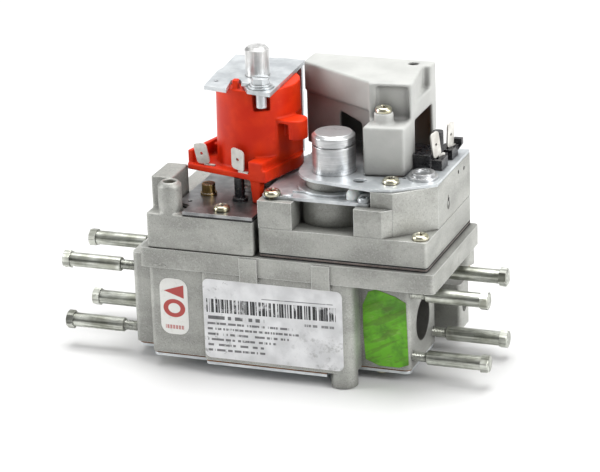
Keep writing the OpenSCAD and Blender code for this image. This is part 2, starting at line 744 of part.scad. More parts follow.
module coil_body_outline() rotate(coil_turn) {
  translate([0, 0, tray_z]) cylinder(h = coil_h, d1 = coil_d, d2 = coil_d - coil_draft);
  box(tray_x0, tray_x1, -tray_reach, 2, tray_z, tray_z + 3);
  box(tray_x0, tray_x0 + 2.5, -tray_reach + 1, 2, tray_z, tray_z + 9.5);
  box(tray_x0, -8, -6, 4, tray_z, tray_z + 8);
  box(tray_x1 - 1, tray_x1 + 9, -tray_reach, -7, tray_z, tray_z + 9.6);
  box(tray_x1, 20.5, -15, 4, tray_z, tray_z + 6);
  translate([tray_x1, -tray_reach + 4.2, tray_z]) rotate([90, 0, 0])
    linear_extrude(3.6) polygon([[-0.6, 0], [5.6, 0], [4.6, -leg_h], [0.4, -leg_h]]);
}

// Hook on the side of the coil: a half ring with a roof, open towards the front
module coil_lug() difference() {
  union() {
    rod(lug_x, lug_y, lug_z0, lug_z0 + lug_h, lug_d);
    box(groove_x - 1, lug_x, lug_y - lug_d / 2, lug_y + lug_d / 2, lug_z0, lug_z0 + lug_h);
  }
  rod(lug_x, lug_y, lug_z0 - 1, lug_z0 + lug_h - 2, lug_d - 5);
  box(groove_x, lug_x, -coil_d, lug_y, lug_z0 - 1, lug_z0 + lug_h - 2);
}

module coil_body() color("#f04a1c") on_axis() difference() {
  union() {
    difference() {
      coil_body_outline();
      rotate(coil_turn) box(groove_x, coil_d, -coil_d, coil_d / 2, tray_z + 6, lug_z0 + lug_h);
    }
    rotate(coil_turn) coil_lug();
    box(-6, -3.2, -19, -15.6, coil_z1 - 3, coil_z1 + 4.6);
  }
  rod(0, 0, tray_z - 1, coil_z1 + 1, tube_d + 2 * fit);
  ring(0, 0, winding_z0, winding_z1, 2 * winding_r1, 2 * winding_r0);
  rod(earth_at[0], earth_at[1], coil_z1 - earth_pocket_h, coil_z1 + 1, earth_pocket_d);
  box(earth_at[0] - earth_pocket_d / 2, earth_at[0] + earth_pocket_d / 2, -coil_d, earth_at[1],
    coil_z1 - earth_pocket_h, coil_z1 + 1);
}

module coil_winding() color("#b8682e") at_coil() translate([0, 0, winding_z0]) difference() {
  cylinder(h = winding_z1 - winding_z0 - gap, r = winding_r1 - 2 * gap);
  translate([0, 0, -1]) cylinder(h = winding_z1 - winding_z0 + 2, r = winding_r0 + fit);
}

module coil_tabs() color("#d2d2ca") at_coil() {
  foot_t = 0.8;
  translate([-17, -tray_reach + 6.6, tray_z + 3 + foot_t]) rotate([0, -14, 0]) tab_up(tab_l);
  box(-17.7, -12, -tray_reach + 6, -tray_reach + 7.4, tray_z + 3, tray_z + 3 + foot_t);
  translate([3.4, -tray_reach + 1.2, tray_z + 3 + foot_t / 2]) tab_up(tab_l - 1.4);
  box(-0.2, 7.2, -tray_reach + 0.8, -tray_reach + 2.2, tray_z + 3, tray_z + 3 + foot_t);
}

// ---- regulator ----

module regulator_outline() round_rect(reg_x0, reg_x1, -reg_front, reg_back, 1.8);

module regulator_sheet(z0, z1, opening) {
  translate([0, 0, z0]) linear_extrude(z1 - z0) difference() {
    regulator_outline();
    translate([main_x, main_y]) circle(d = opening);
  }
}

module lower_gasket() color("#232122")
  regulator_sheet(deck_z, deck_z + membrane_t, 2 * (main_r + bead_w + gap));

module carrier_plate() color("#7a5a44")
  regulator_sheet(deck_z + membrane_t, reg_z0 - membrane_t, 2 * main_r);

module regulator_gasket() color("#1e1d1e") regulator_sheet(reg_z0 - membrane_t, reg_z0, 2 * (main_r + 1));

// The working part of the membrane: a clamped rim, a slope and a flat centre
module membrane(z, rim_r, slope_r, flat_r, rise, thick, bore) {
  translate([0, 0, z]) rotate_extrude($fn = 96) polygon([
    [bore / 2, rise], [flat_r, rise], [slope_r, 0], [rim_r, 0], [rim_r, thick], [slope_r, thick],
    [flat_r, rise + thick], [bore / 2, rise + thick]
  ]);
}

module main_diaphragm() color("#191919") translate([main_x, main_y, 0])
  membrane(deck_z, main_r + bead_w, main_r - 0.5, main_plate_d / 2 - 1,
    main_plate_z - deck_z - membrane_t, membrane_t, stem_d + 2 * fit);

module main_valve() color("#bfc2c4") {
  rod(main_x, main_y, main_plate_z, main_spring_z0, main_plate_d);
  rod(main_x, main_y, seat_z + disc_2_t, main_plate_z + 0.5, stem_d);
  rod(main_x, main_y, seat_z + disc_2_t, seat_z + disc_2_t + 1.6, disc_2_d);
  rod(main_x, main_y, main_spring_z0 - 0.5, main_spring_z0 + main_boss_h, main_spring_top_d - 5);
}

module main_valve_seal() color("#161616") rod(main_x, main_y, seat_z, seat_z + disc_2_t, disc_2_d);

module main_spring() color("#d6d8d9")
  coil_spring(main_x, main_y, main_spring_z0, main_spring_z1, main_spring_d, 1, 3, main_spring_top_d);

module regulator_base() color("#a5a6a3") difference() {
  translate([0, 0, reg_z0]) linear_extrude(reg_base_h) regulator_outline();
  rod(main_x, main_y, reg_z0 - 1, main_spring_z1, 2 * main_r);
  rod(cap_x, cap_y, reg_z1 - 1.2, reg_z1 + 1, 2 * govern_r);
  rod(servo_x, servo_y, reg_z1 - 2.5, reg_z1 + 1, 3);
  rod(reg_screw_at[0], reg_screw_at[1], reg_z0 - 1, reg_z1 + 1, screw_d + 2 * fit);
}

module regulator_low_outline() difference() {
  polygon([
    [reg_x0 + 0.4, -reg_front + 0.2], [reg_knee_x, -reg_front + 0.2], [reg_x1 - 0.2, reg_knee_y],
    [reg_x1 - 0.2, reg_back - 0.3], [reg_x0 + 0.4, reg_back - 0.3]
  ]);
  translate([reg_block_x1, -reg_front - 1]) square([reg_recess_x1 - reg_block_x1, reg_front + 1 + recess_y1]);
}

module regulator_step_outline()
  polygon([
    [step_x0, -step_front], [reg_knee_x + 4.4, -step_front], [reg_x1 - 0.2, reg_knee_y],
    [reg_x1 - 0.2, reg_back - 0.3], [shelf_x0, reg_back - 0.3], [shelf_x0, shelf_y0], [step_x0, shelf_y0]
  ]);

module regulator_casting() color("#b0b1ae") difference() {
  union() {
    translate([0, 0, reg_z1]) linear_extrude(reg_low_h) regulator_low_outline();
    translate([0, 0, reg_z1]) linear_extrude(reg_low_h + reg_step_h) regulator_step_outline();
    rod(cap_x, cap_y, reg_z1, reg_z2, house_d);
    rod(cap_x, cap_y, reg_z2 - 1, reg_z3, neck_d);
    rod(cap_x, cap_y, reg_z3 - 1, stub_z1, stub_d);
  }
  rod(cap_x, cap_y, reg_z1 - 1, reg_z1 + govern_t, 2 * (govern_r + 2.4 + fit));
  rod(cap_x, cap_y, reg_z1 - 1, govern_roof, 2 * govern_r);
  rod(cap_x, cap_y, reg_z1, web_z, neck_bore);
  rod(cap_x, cap_y, web_z - 1, web_z + web_t + 1, adjuster_d + 2 * fit);
  rod(cap_x, cap_y, web_z + web_t, stub_z1 + 1, stub_d - 5);
  rod(servo_x, servo_y, servo_seat_z, reg_z3 + 1, servo_tube_d + 2 * fit);
  rod(servo_x, servo_y, reg_z1 - 1, servo_seat_z + 1, 3);
  for (p = [low_screw_at, silver_screw_at])
    rod(p[0], p[1], reg_z2 - small_in - 1, reg_z2 + 1, small_d + 2 * fit);
  rod(top_screw_at[0], top_screw_at[1], reg_z3 - small_in - 1, reg_z3 + 1, small_d + 2 * fit);
  rod(plug_at[0], plug_at[1], reg_z3 - plug_in - 1, reg_z3 + 1, plug_d + 2 * fit);
  for (p = side_pits) bar_x(reg_x1 - 2.5, reg_x1 + 1, p[0], p[1], 2.2);
}

module governor_diaphragm() color("#222222") translate([cap_x, cap_y, 0])
  membrane(reg_z1, govern_r + 2.4, govern_r - 0.4, govern_plate_d / 2 - 1, govern_rise, govern_t, 0);

module governor_plate() color("#c7c9ca") {
  rod(cap_x, cap_y, govern_plate_z, govern_spring_z0, govern_plate_d);
  rod(cap_x, cap_y, govern_spring_z0 - 0.5, govern_spring_z0 + 1.2, govern_spring_d - 4.5);
}

module governor_spring() color("#d6d8d9")
  coil_spring(cap_x, cap_y, govern_spring_z0, seat_bottom, govern_spring_d, 1.1, 4);

module spring_seat() color("#cfae58") {
  ring(cap_x, cap_y, seat_bottom, seat_top, neck_bore - 4 * fit, adjuster_d + 2 * fit);
  ring(cap_x, cap_y, seat_top - 0.5, seat_top + hub_h, adjuster_d + 4, adjuster_d + 2 * fit);
}

module adjuster_screw() color("#c9c3a0") difference() {
  union() {
    rod(cap_x, cap_y, adjuster_z0, web_z + web_t + 4, adjuster_d);
    rod(cap_x, cap_y, collar_z, collar_z + collar_h, adjuster_d + 6);
  }
  translate([cap_x, cap_y, web_z + web_t + 4]) cube([adjuster_d + 2, 1.1, 3], center = true);
}

module regulator_lower_plate() color("#cfd2d3") difference() {
  union() {
    translate([0, 0, reg_z2]) linear_extrude(plate_t) difference() {
      round_rect(reg_x0 + 0.8, step_x0 - 0.4, -low_front, reg_back - 6, 2.5);
      translate([shelf_x0 - gap, shelf_y0 - gap]) square([60, 60]);
    }
    ring(cap_x, cap_y, reg_z2, reg_z2 + plate_t + 1.3, house_d, neck_d + 2 * gap);
    box(reg_x0 + 14, reg_x0 + 24, -low_front + 7.4, -low_front + 8.2,
      reg_z2 + plate_t - 0.5, reg_z2 + plate_t + 0.8);
  }
  rod(cap_x, cap_y, reg_z2 - 1, reg_z2 + 9, neck_d + 2 * gap);
  for (p = [low_screw_at, silver_screw_at, button_at])
    rod(p[0], p[1], reg_z2 - 1, reg_z2 + 3, small_d + 2 * gap);
}

module regulator_upper_plate() color("#d4d7d8") difference() {
  translate([0, 0, reg_z3]) linear_extrude(plate_t) difference() {
    union() {
      translate([cap_x, cap_y]) circle(r = upper_r);
      polygon([
        [cap_x, cap_y - upper_r], [step_x0 - 0.5, -step_front + 0.2], [reg_knee_x + 3, -step_front + 1.2],
        [reg_x1 - 0.4, reg_knee_y - 0.6],
        [reg_x1 - 0.4, reg_back], [cap_x - upper_r - 5, reg_back], [cap_x - upper_r, cap_y]
      ]);
    }
    translate([cap_x, cap_y]) circle(d = stub_d + 2 * gap);
    translate([servo_x, servo_y]) circle(d = servo_tube_d + 2 * fit);
    translate(upper_hole_at) circle(d = upper_hole_d);
    translate(top_screw_at) circle(d = small_d + 2 * gap);
    translate(plug_at) circle(d = plug_d + 2 * gap);
    translate([plug_at[0] - 8.4, plug_at[1] - 3]) circle(d = 2);
  }
}

module regulator_cap() color("#cdd0d2") difference() {
  union() {
    rod(cap_x, cap_y, reg_top, reg_top + cap_h - 6, cap_d);
    rod(cap_x, cap_y, reg_top + cap_h - 7, reg_top + cap_h - 4, cap_d - 2);
    rod(cap_x, cap_y, reg_top + cap_h - 5, reg_top + cap_h - 1.4, cap_d);
    translate([cap_x, cap_y, reg_top + cap_h - 1.4]) cylinder(h = 1.4, d1 = cap_d, d2 = cap_d - 3);
  }
  rod(cap_x, cap_y, reg_top - 1, reg_top + cap_h - 2.2, stub_d + 2 * fit);
}

module regulator_screws() color("#c2b06c") {
  pan_screw(reg_screw_at[0], reg_screw_at[1], reg_z1, pan_d, pan_h, screw_d, reg_base_h - 1);
  pan_screw(low_screw_at[0], low_screw_at[1], reg_z2 + plate_t, pan_d, pan_h, small_d, small_in);
  pan_screw(top_screw_at[0], top_screw_at[1], reg_top, pan_d, pan_h, small_d, small_in);
}

module silver_screw() color("#b6b8ba") {
  pan_screw(silver_screw_at[0], silver_screw_at[1], reg_z2 + plate_t, 6.4, 2.4, small_d, small_in);
  translate([rivet_at[0], rivet_at[1], reg_z2 + plate_t]) cylinder(h = 0.9, d1 = 5.4, d2 = 3.4);
}

module vent_button() color("#f4f4f0") {
  rod(button_at[0], button_at[1], reg_z2 + plate_t, reg_z2 + plate_t + 2, button_d);
  rod(button_at[0], button_at[1], reg_z2, reg_z2 + plate_t + 1, small_d);
  translate([button_at[0], button_at[1], reg_z2 + plate_t + 2]) intersection() {
    sphere(d = button_d);
    cylinder(h = button_d, d = button_d + 1);
  }
}

module test_plug() color("#c3c7ca") difference() {
  union() {
    rod(plug_at[0], plug_at[1], reg_top, reg_top + 1.4, 14);
    rod(plug_at[0], plug_at[1], reg_top + 1, reg_top + 3, 11);
    rod(plug_at[0], plug_at[1], reg_z3 - plug_in, reg_top + 1, plug_d);
  }
  rod(plug_at[0], plug_at[1], reg_top + 2.2, reg_top + 4, 7.4);
}

// ---- servo coil and cover ----

module servo_tube() color("#c0c2c4") difference() {
  rod(servo_x, servo_y, servo_seat_z + 0.5, servo_tube_z1, servo_tube_d);
  rod(servo_x, servo_y, servo_seat_z, servo_tube_z1 - 1.5, 2 * servo_core_r);
}

module servo_pole() color("#96989a")
  rod(servo_x, servo_y, servo_pole_z0, servo_tube_z1 - 1.5, 2 * (servo_core_r - fit));

module servo_plunger() color("#b2b4b6") difference() {
  rod(servo_x, servo_y, servo_plunger_z0, servo_plunger_z1, 2 * (servo_core_r - fit));
  rod(servo_x, servo_y, servo_plunger_z1 - 7, servo_plunger_z1 + 1, 4.6);
}

module servo_disc() color("#1b1b1b") rod(servo_x, servo_y, servo_seat_z, servo_plunger_z0, 6);

module servo_spring() color("#d6d8d9")
  coil_spring(servo_x, servo_y, servo_plunger_z1 - 7, servo_pole_z0, 4, 0.6, 7);

module servo_coil() color("#1b1b1d") difference() {
  union() {
    rod(servo_x, servo_y, servo_z0, servo_coil_z0 + 2, servo_coil_d);
    rod(servo_x, servo_y, servo_z0, servo_coil_z0 + servo_coil_h, servo_tube_d + 4);
    rod(servo_x, servo_y, servo_coil_z0 + servo_coil_h - 2, servo_coil_z0 + servo_coil_h, servo_coil_d);
    box(servo_x, term_x0 + 1, servo_y - 8, servo_y + 8, servo_z0, servo_z0 + 3.6);
    box(term_x0, term_x1 - 4, term_y0 + 3, term_y1, servo_z0, servo_z0 + 3.6);
    box(term_x0, term_x1 - 7, term_y0, term_y0 + 5, servo_z0, servo_z0 + 7.5);
    for (y = tab_at) box(tab_x - 3.6, tab_x + 3.2, y - 4.6, y + 4.6, servo_z0, term_z1);
    rod(tab_x - 2.6, (tab_at[0] + tab_at[1]) / 2, servo_z0, servo_z0 + 15.4, 5.2);
    translate([tab_x - 3, term_y1 - 2.6, servo_z0]) rotate([90, 0, 0]) mirror([0, 0, 1])
      linear_extrude(2.6) polygon([[0, 0], [4.6, 0], [8.2, 5], [8.2, 8], [4, 8], [0, 5]]);
  }
  rod(servo_x, servo_y, servo_z0 - 1, servo_tube_z1, servo_tube_d + 2 * fit);
  for (y = tab_at) box(tab_x - tab_t / 2 - 0.2, tab_x + tab_t / 2 + 0.2,
    y - tab_w / 2 - 0.2, y + tab_w / 2 + 0.2, servo_z0 + 3, term_z1 + 1);
}

module servo_winding() color("#7e4a26")
  ring(servo_x, servo_y, servo_coil_z0 + 2, servo_coil_z0 + servo_coil_h - 2,
    servo_coil_d - 1.6, servo_tube_d + 4 + 2 * fit);

module servo_tabs() color("#d2d2ca")
  for (y = tab_at) translate([tab_x, y, servo_z0 + 3]) rotate(90) tab_up(tab_l + 4);

// Where the front faces lie at x, given their place on the cover's axis
function slant_y(y, x) = y + tan(cover_slant) * (x - cover_x);

// Outline of the hood: a slanting front, and a left wall that runs back at an angle.
// d moves every wall in, and side_in moves the angled wall in further.
module hood_outline(d, side_in) {
  run = hood_x0 - hood_left;
  rise = hood_left_y - slant_y(hood_y0, hood_x0);
  shift = (d + side_in) * sqrt(run * run + rise * rise) / run;
  grade = rise / run;
  lean = tan(cover_slant);
  front = slant_y(hood_y0 + d, hood_x0);
  cut_x = hood_x0 + (slant_y(hood_y0, hood_x0) + shift - front) / (lean + grade);
  left_x = hood_left + d;
  polygon([
    [cut_x, front + lean * (cut_x - hood_x0)], [hood_x1 - d, slant_y(hood_y0 + d, hood_x1 - d)],
    [hood_x1 - d, hood_back - d], [left_x, hood_back - d],
    [left_x, slant_y(hood_y0, hood_x0) + shift + (hood_x0 - left_x) * grade]
  ]);
}

// Block with a slanting front between x0 and x1, from y0 on the cover's axis back to y1
module slant_box(x0, x1, y0, y1, z0, z1)
  translate([0, 0, z0]) linear_extrude(z1 - z0)
    polygon([[x0, slant_y(y0, x0)], [x1, slant_y(y0, x1)], [x1, y1], [x0, y1]]);

module coil_cover() color("#d3d4d0") difference() {
  post_x0 = hood_x1 - post_w;
  union() {
    translate([0, 0, hood_z0]) linear_extrude(cover_z1 - hood_z0) hood_outline(0, 0);
    translate([0, 0, cover_z]) linear_extrude(hood_z0 - cover_z + 1) hood_outline(0, skirt_in);
    box(hood_left + 8, hood_x1, hood_back - cover_wall, hood_back, cover_z - back_lip, cover_z + 1);
    slant_box(post_x0, hood_x1, cover_y, hood_y0 + cover_wall, cover_z, ledge_z);
    rod(boss_at[0], boss_at[1], ledge_z - 1, tower_top, tower_d);
    slant_box(hood_x0, hood_x0 + 3.6, hood_y0 - frame_rise, hood_y0 + 1, ledge_z - 1, cover_z1);
    slant_box(hood_x1 - 1.6, hood_x1, hood_y0 - frame_rise, hood_y0 + 1, ledge_z - 1, cover_z1);
    slant_box(hood_x0, hood_x1, hood_y0 - frame_rise, hood_y0 + 1, cover_z1 - 1.8, cover_z1);
  }
  translate([0, 0, cover_z - 1]) linear_extrude(cover_z1 - cover_z + 1 - cover_wall) difference() {
    hood_outline(cover_wall, skirt_in);
    grip_outline(cover_wall);
  }
  translate([0, 0, cover_z - 1]) linear_extrude(grip_z - cover_z + 1 - cover_wall)
    hood_outline(cover_wall, skirt_in);
  translate([0, 0, grip_z]) linear_extrude(cover_z1 - grip_z + 1) grip_outline(0);
  slant_box(post_x0 + cover_wall, hood_x1 - cover_wall, cover_y + cover_wall, hood_y0 + 2 * cover_wall + 1,
    cover_z - 1, ledge_z - cover_wall);
  rod(boss_at[0], boss_at[1], tower_top - small_in - 0.5, tower_top + 1, small_d + 2 * fit);
  box(hood_x1 - cover_wall - 1, hood_x1 + 1, side_y[0], side_y[1], cover_z - 1, side_top);
  left_opening();
  rod(top_hole_at[0], top_hole_at[1], cover_z1 - cover_wall - 1, cover_z1 + 1, top_hole_d);
}

// Finger recess at the top right, deepest at its rear end; d makes room for a wall behind it
module grip_outline(d) {
  front = slant_y(hood_y0, hood_x1);
  polygon([[hood_x1, front - d], [hood_x1 + 1, front - d], [hood_x1 + 1, grip_y + d],
    [hood_x1 - grip_in - d, grip_y + d], [hood_x1 - grip_in - d, grip_y - d]]);
}

// The gap left of the post that shows the coil
module left_opening()
  translate([0, 20, 0]) rotate([90, 0, 0]) linear_extrude(17)
    polygon([[slot_x1 - slot_w, cover_z - 1], [slot_x1, cover_z - 1],
      [slot_x1, ledge_z - 5.4], [slot_x1 - slot_w, ledge_z - 2.6]]);

module cover_screw() color("#c2b06c")
  pan_screw(boss_at[0], boss_at[1], tower_top, pan_d, pan_h, small_d, small_in);

// ---- trim ----

module rear_screw() color("#8a6a2c")
  translate([0, 0, 2 * (deck_z0 - rear_boss_h)]) mirror([0, 0, 1])
    pan_screw(rear_boss_at[0], rear_boss_at[1], deck_z0 - rear_boss_h,
      pan_d - 1, pan_h + 0.6, screw_d, rear_boss_h - 0.5);

// Sheet on a face that looks along -Y
module front_sheet(y, x0, x1, z0, z1, r) {
  translate([0, y, 0]) rotate([90, 0, 0]) linear_extrude(sheet) round_rect(x0, x1, z0, z1, r);
}

module rating_label() color("#d9dadb") front_sheet(-pad_front, label_x0, label_x1, label_z0, label_z1, 4);

module sticker() color("#f6f6f4")
  front_sheet(-block_front, sticker_x0, sticker_x0 + sticker_w, sticker_z0, sticker_z0 + sticker_h, 5.6);

module seal_tape() color("#5f9a2c") front_sheet(-end_f, tape_x0, tape_x1, tape_z0, tape_z1, 4.5);

valve_body();
inlet_bolts();
outlet_bolts();
bottom_gasket();
bottom_plate();
bottom_screws();
inlet_screen();
head_casting();
tap_screw();
solenoid_gasket();
solenoid_plate();
solenoid_screws();
tall_screw();
coil_post();
core_tube();
pole_piece();
shutoff_plunger();
shutoff_disc();
shutoff_spring();
coil_yoke();
earth_screw();
coil_body();
coil_winding();
coil_tabs();
lower_gasket();
main_diaphragm();
carrier_plate();
regulator_gasket();
regulator_base();
main_valve();
main_valve_seal();
main_spring();
regulator_casting();
governor_diaphragm();
governor_plate();
governor_spring();
spring_seat();
adjuster_screw();
regulator_lower_plate();
regulator_upper_plate();
regulator_cap();
regulator_screws();
silver_screw();
vent_button();
test_plug();
servo_tube();
servo_pole();
servo_plunger();
servo_disc();
servo_spring();
servo_coil();
servo_winding();
servo_tabs();
coil_cover();
cover_screw();
rear_screw();
rating_label();
sticker();
seal_tape();
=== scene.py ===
"""Combination gas control valve for a boiler.

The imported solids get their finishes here. The flange bolts, screws, push-on blades, springs, label, sticker
and tape are modelled anew over their solids. Lengths are in metres, and in millimetres inside a finish.
"""

import json
import math

import bmesh
import bpy
from mathutils import Matrix, Vector, noise

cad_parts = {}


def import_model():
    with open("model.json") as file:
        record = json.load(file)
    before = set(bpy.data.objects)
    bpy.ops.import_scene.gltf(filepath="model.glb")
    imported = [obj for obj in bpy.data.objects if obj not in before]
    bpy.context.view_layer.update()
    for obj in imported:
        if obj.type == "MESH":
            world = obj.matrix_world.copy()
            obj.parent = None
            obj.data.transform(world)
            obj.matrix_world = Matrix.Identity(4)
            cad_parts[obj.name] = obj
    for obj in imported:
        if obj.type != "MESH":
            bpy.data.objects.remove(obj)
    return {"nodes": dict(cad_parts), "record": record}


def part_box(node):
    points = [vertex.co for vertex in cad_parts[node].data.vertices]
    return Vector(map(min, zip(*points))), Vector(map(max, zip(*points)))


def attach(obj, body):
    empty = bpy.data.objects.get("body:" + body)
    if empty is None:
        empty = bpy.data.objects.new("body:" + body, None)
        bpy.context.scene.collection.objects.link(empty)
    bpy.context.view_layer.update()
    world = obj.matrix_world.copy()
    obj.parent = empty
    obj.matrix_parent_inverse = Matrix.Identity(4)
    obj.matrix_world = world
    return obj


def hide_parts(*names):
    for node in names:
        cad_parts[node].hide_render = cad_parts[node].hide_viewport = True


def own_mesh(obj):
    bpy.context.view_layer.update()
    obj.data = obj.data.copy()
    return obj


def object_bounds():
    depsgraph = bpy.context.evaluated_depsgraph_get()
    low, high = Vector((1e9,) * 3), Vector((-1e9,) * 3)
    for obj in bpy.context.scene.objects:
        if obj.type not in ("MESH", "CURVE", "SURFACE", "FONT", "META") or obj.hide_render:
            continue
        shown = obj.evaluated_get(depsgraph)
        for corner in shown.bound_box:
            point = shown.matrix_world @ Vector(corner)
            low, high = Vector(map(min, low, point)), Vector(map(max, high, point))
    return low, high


MM = 0.001
TURN = 2 * math.pi

# flange bolts
HEAD_H = 3.8 * MM
BOLT_THREAD_R = 2.5 * MM
BOLT_STEPS = 36  # points round a bolt
SHANK_EDGE = 0.4 * MM  # edge turned off the shank where the thread starts
THREAD_PITCH = 0.8 * MM
THREAD_DEPTH = 0.42 * MM
THREAD_STEPS = 6  # rings for each turn of the thread

# small screws
PAN_HEAD_H = 2.6 * MM
LOW_HEAD_H = 2.2 * MM  # the screws of the bottom plate
SMALL_HEAD_W = 7.5 * MM  # a head narrower than this has the thinner thread
SMALL_THREAD_R = 1.5 * MM
LARGE_THREAD_R = 1.9 * MM
RECESS_DEPTH = 1.5 * MM
RECESS_ARM = 0.55 * MM  # half the width of an arm of the cross
RIVET_H = 3 * MM  # a solid lower than this is a rivet
RIVET_PROFILE = ((1, 0), (1, 0.2), (0.86, 0.7), (0.6, 0.95), (0.25, 1))  # shares of its radius and height

# push-on blades
BLADE_THICK = 0.8 * MM
BLADE_CORNER_R = 1.7 * MM
BLADE_HOLE_R = 0.8 * MM
FOOT_HALF = 0.7 * MM  # half the depth of the bent foot
FOOT_START = 0.4 * MM  # how far from the blade's middle the foot starts
FOOT_REACH = 2.4 * MM  # how far the foot runs past the blade
FOOT_LOW, FOOT_HIGH = -0.5 * MM, 0.4 * MM

# lump of metal under the deck flange
RUN_PLACE = Vector((8, 1.1, -8.6)) * MM  # from the head's left, the body's front, the head's underside
RUN_HALF_SIZE = Vector((3.4, 0.7, 1.1)) * MM

# teardrop pit in the regulator's right side
PIT_PLACE = Vector((-1, -35.4, -13)) * MM  # from the casting's right side, its rear, its upper plate

# label, sticker and tape
SHEET_STEP = 0.9 * MM  # spacing of the points along a sheet's edge
SHEET_LAYERS = 20  # rings of points from a sheet's edge to its middle
LIFT_FROM = 1.55  # corners lift from here on, where an edge's middle is at 1 and a corner at 2

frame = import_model()
cad_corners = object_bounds()
mounts = {mount["name"]: mount for mount in frame["record"]["mounts"]}


# ---- shader sums ----


class Value:
    """A socket of a finish that Python sums can use. Each sum adds its own node."""

    def __init__(self, finish, socket):
        self.finish = finish
        self.socket = socket

    def __add__(self, other):
        return self.finish.sum("ADD", self, other)

    def __sub__(self, other):
        return self.finish.sum("SUBTRACT", self, other)

    def __rsub__(self, other):
        return self.finish.sum("SUBTRACT", other, self)

    def __mul__(self, other):
        return self.finish.sum("MULTIPLY", self, other)

    def __pow__(self, other):
        return self.finish.sum("POWER", self, other)

    def __mod__(self, other):
        return self.finish.sum("FLOORED_MODULO", self, other)

    def __lt__(self, other):
        return self.finish.sum("LESS_THAN", self, other)

    def __gt__(self, other):
        return self.finish.sum("GREATER_THAN", self, other)

    def __abs__(self):
        return self.finish.sum("ABSOLUTE", self)

    __radd__ = __add__
    __rmul__ = __mul__

    def fade(self, low, high):
        """0 at low, 1 at high and a smooth slope between them."""
        return self.finish.node(
            "MapRange",
            {"interpolation_type": "SMOOTHSTEP"},
            {"Value": self, "From Min": low, "From Max": high},
        )


class Shades:
    """The nodes of a material or of the world around the valve."""

    def __init__(self, tree):
        self.nodes = tree.nodes
        self.links = tree.links

    def put(self, node, socket, value):
        """Sets a socket to a number or colour, or links it to a value."""
        if isinstance(value, Value):
            self.links.new(value.socket, node.inputs[socket])
        elif isinstance(value, tuple) and node.inputs[socket].type == "RGBA":
            node.inputs[socket].default_value = (*value, 1)
        else:
            node.inputs[socket].default_value = value

    def node(self, kind, settings=None, sockets=None, out=0):
        """Adds a node, with its settings first and then its sockets, and gives one of its outputs."""
        made = self.nodes.new("ShaderNode" + kind)
        for key, value in (settings or {}).items():
            setattr(made, key, value)
        for key, value in (sockets or {}).items():
            self.put(made, key, value)
        return Value(self, made.outputs[out])

    def sum(self, operation, *values):
        """One step of arithmetic on values and numbers."""
        return self.node("Math", {"operation": operation}, dict(enumerate(values)))

    def apart(self, vector):
        """The X, Y and Z of a vector."""
        parts = self.node("SeparateXYZ", sockets={0: vector}).socket.node
        return [Value(self, parts.outputs[axis]) for axis in range(3)]

    def mix(self, share, first, second):
        """One colour turning into another as share goes from 0 to 1."""
        return self.node("Mix", {"data_type": "RGBA"}, {0: share, 6: first, 7: second}, out=2)


class Finish(Shades):
    """A material. Places in it are in millimetres in the valve's frame."""

    def __init__(self, name, **surface):
        self.material = bpy.data.materials.new(name)
        self.material.use_nodes = True
        super().__init__(self.material.node_tree)
        self.shader = self.nodes["Principled BSDF"]
        for words, value in surface.items():
            self.put(self.shader, words.replace("_", " ").title(), value)
        self.place = self.node(
            "VectorMath",
            {"operation": "SCALE"},
            {0: self.node("TexCoord", out="Object"), "Scale": 1 / MM},
        )

    def stretched(self, x, y, z):
        """The place with each axis scaled, for marks that run one way."""
        return self.node("VectorMath", {"operation": "MULTIPLY"}, {0: self.place, 1: (x, y, z)})

    def clouds(self, size, detail=3, seed=0, rough=0.5, place=None):
        """Soft noise from 0 to 1 with patches about size millimetres across."""
        return self.node(
            "TexNoise",
            {"noise_dimensions": "4D"},
            {
                "Vector": place or self.place,
                "W": seed,
                "Scale": 1 / size,
                "Detail": detail,
                "Roughness": rough,
            },
        )

    def rounded(self, radius):
        """Normals of edges rounded by radius millimetres."""
        return self.node("Bevel", {"samples": 6}, {"Radius": radius * MM})

    def crevices(self, reach):
        """Near 1 deep in corners and gaps, 0 on open faces."""
        around = self.node("AmbientOcclusion", {"samples": 6}, {"Distance": reach * MM}, out="AO")
        return 1 - around.fade(0.35, 0.85)

    def edges(self, radius):
        """1 along sharp edges and corners, 0 on flat faces."""
        flat = self.node("NewGeometry", out="Normal")
        alike = self.node(
            "VectorMath",
            {"operation": "DOT_PRODUCT"},
            {0: self.rounded(radius), 1: flat},
            out="Value",
        )
        return (1 - alike).fade(0.02, 0.2)

    def wear(self, height, depth, strength=1.0, radius=0.35):
        """Gives the surface a relief of depth millimetres and soft edges."""
        relief = self.node(
            "Bump",
            sockets={
                "Height": height,
                "Distance": depth * MM,
                "Strength": strength,
                "Normal": self.rounded(radius),
            },
        )
        self.put(self.shader, "Normal", relief)

    def colour(self, value):
        """Sets the surface's colour."""
        self.put(self.shader, "Base Color", value)

    def roughness(self, value):
        """Sets how dull the surface is."""
        self.put(self.shader, "Roughness", value)


def inside(value, low, high, blur=0.06):
    """1 where value lies between low and high, with edges blurred by that many millimetres."""
    return value.fade(low - blur, low + blur) * (1 - value.fade(high - blur, high + blur))


# ---- finishes ----


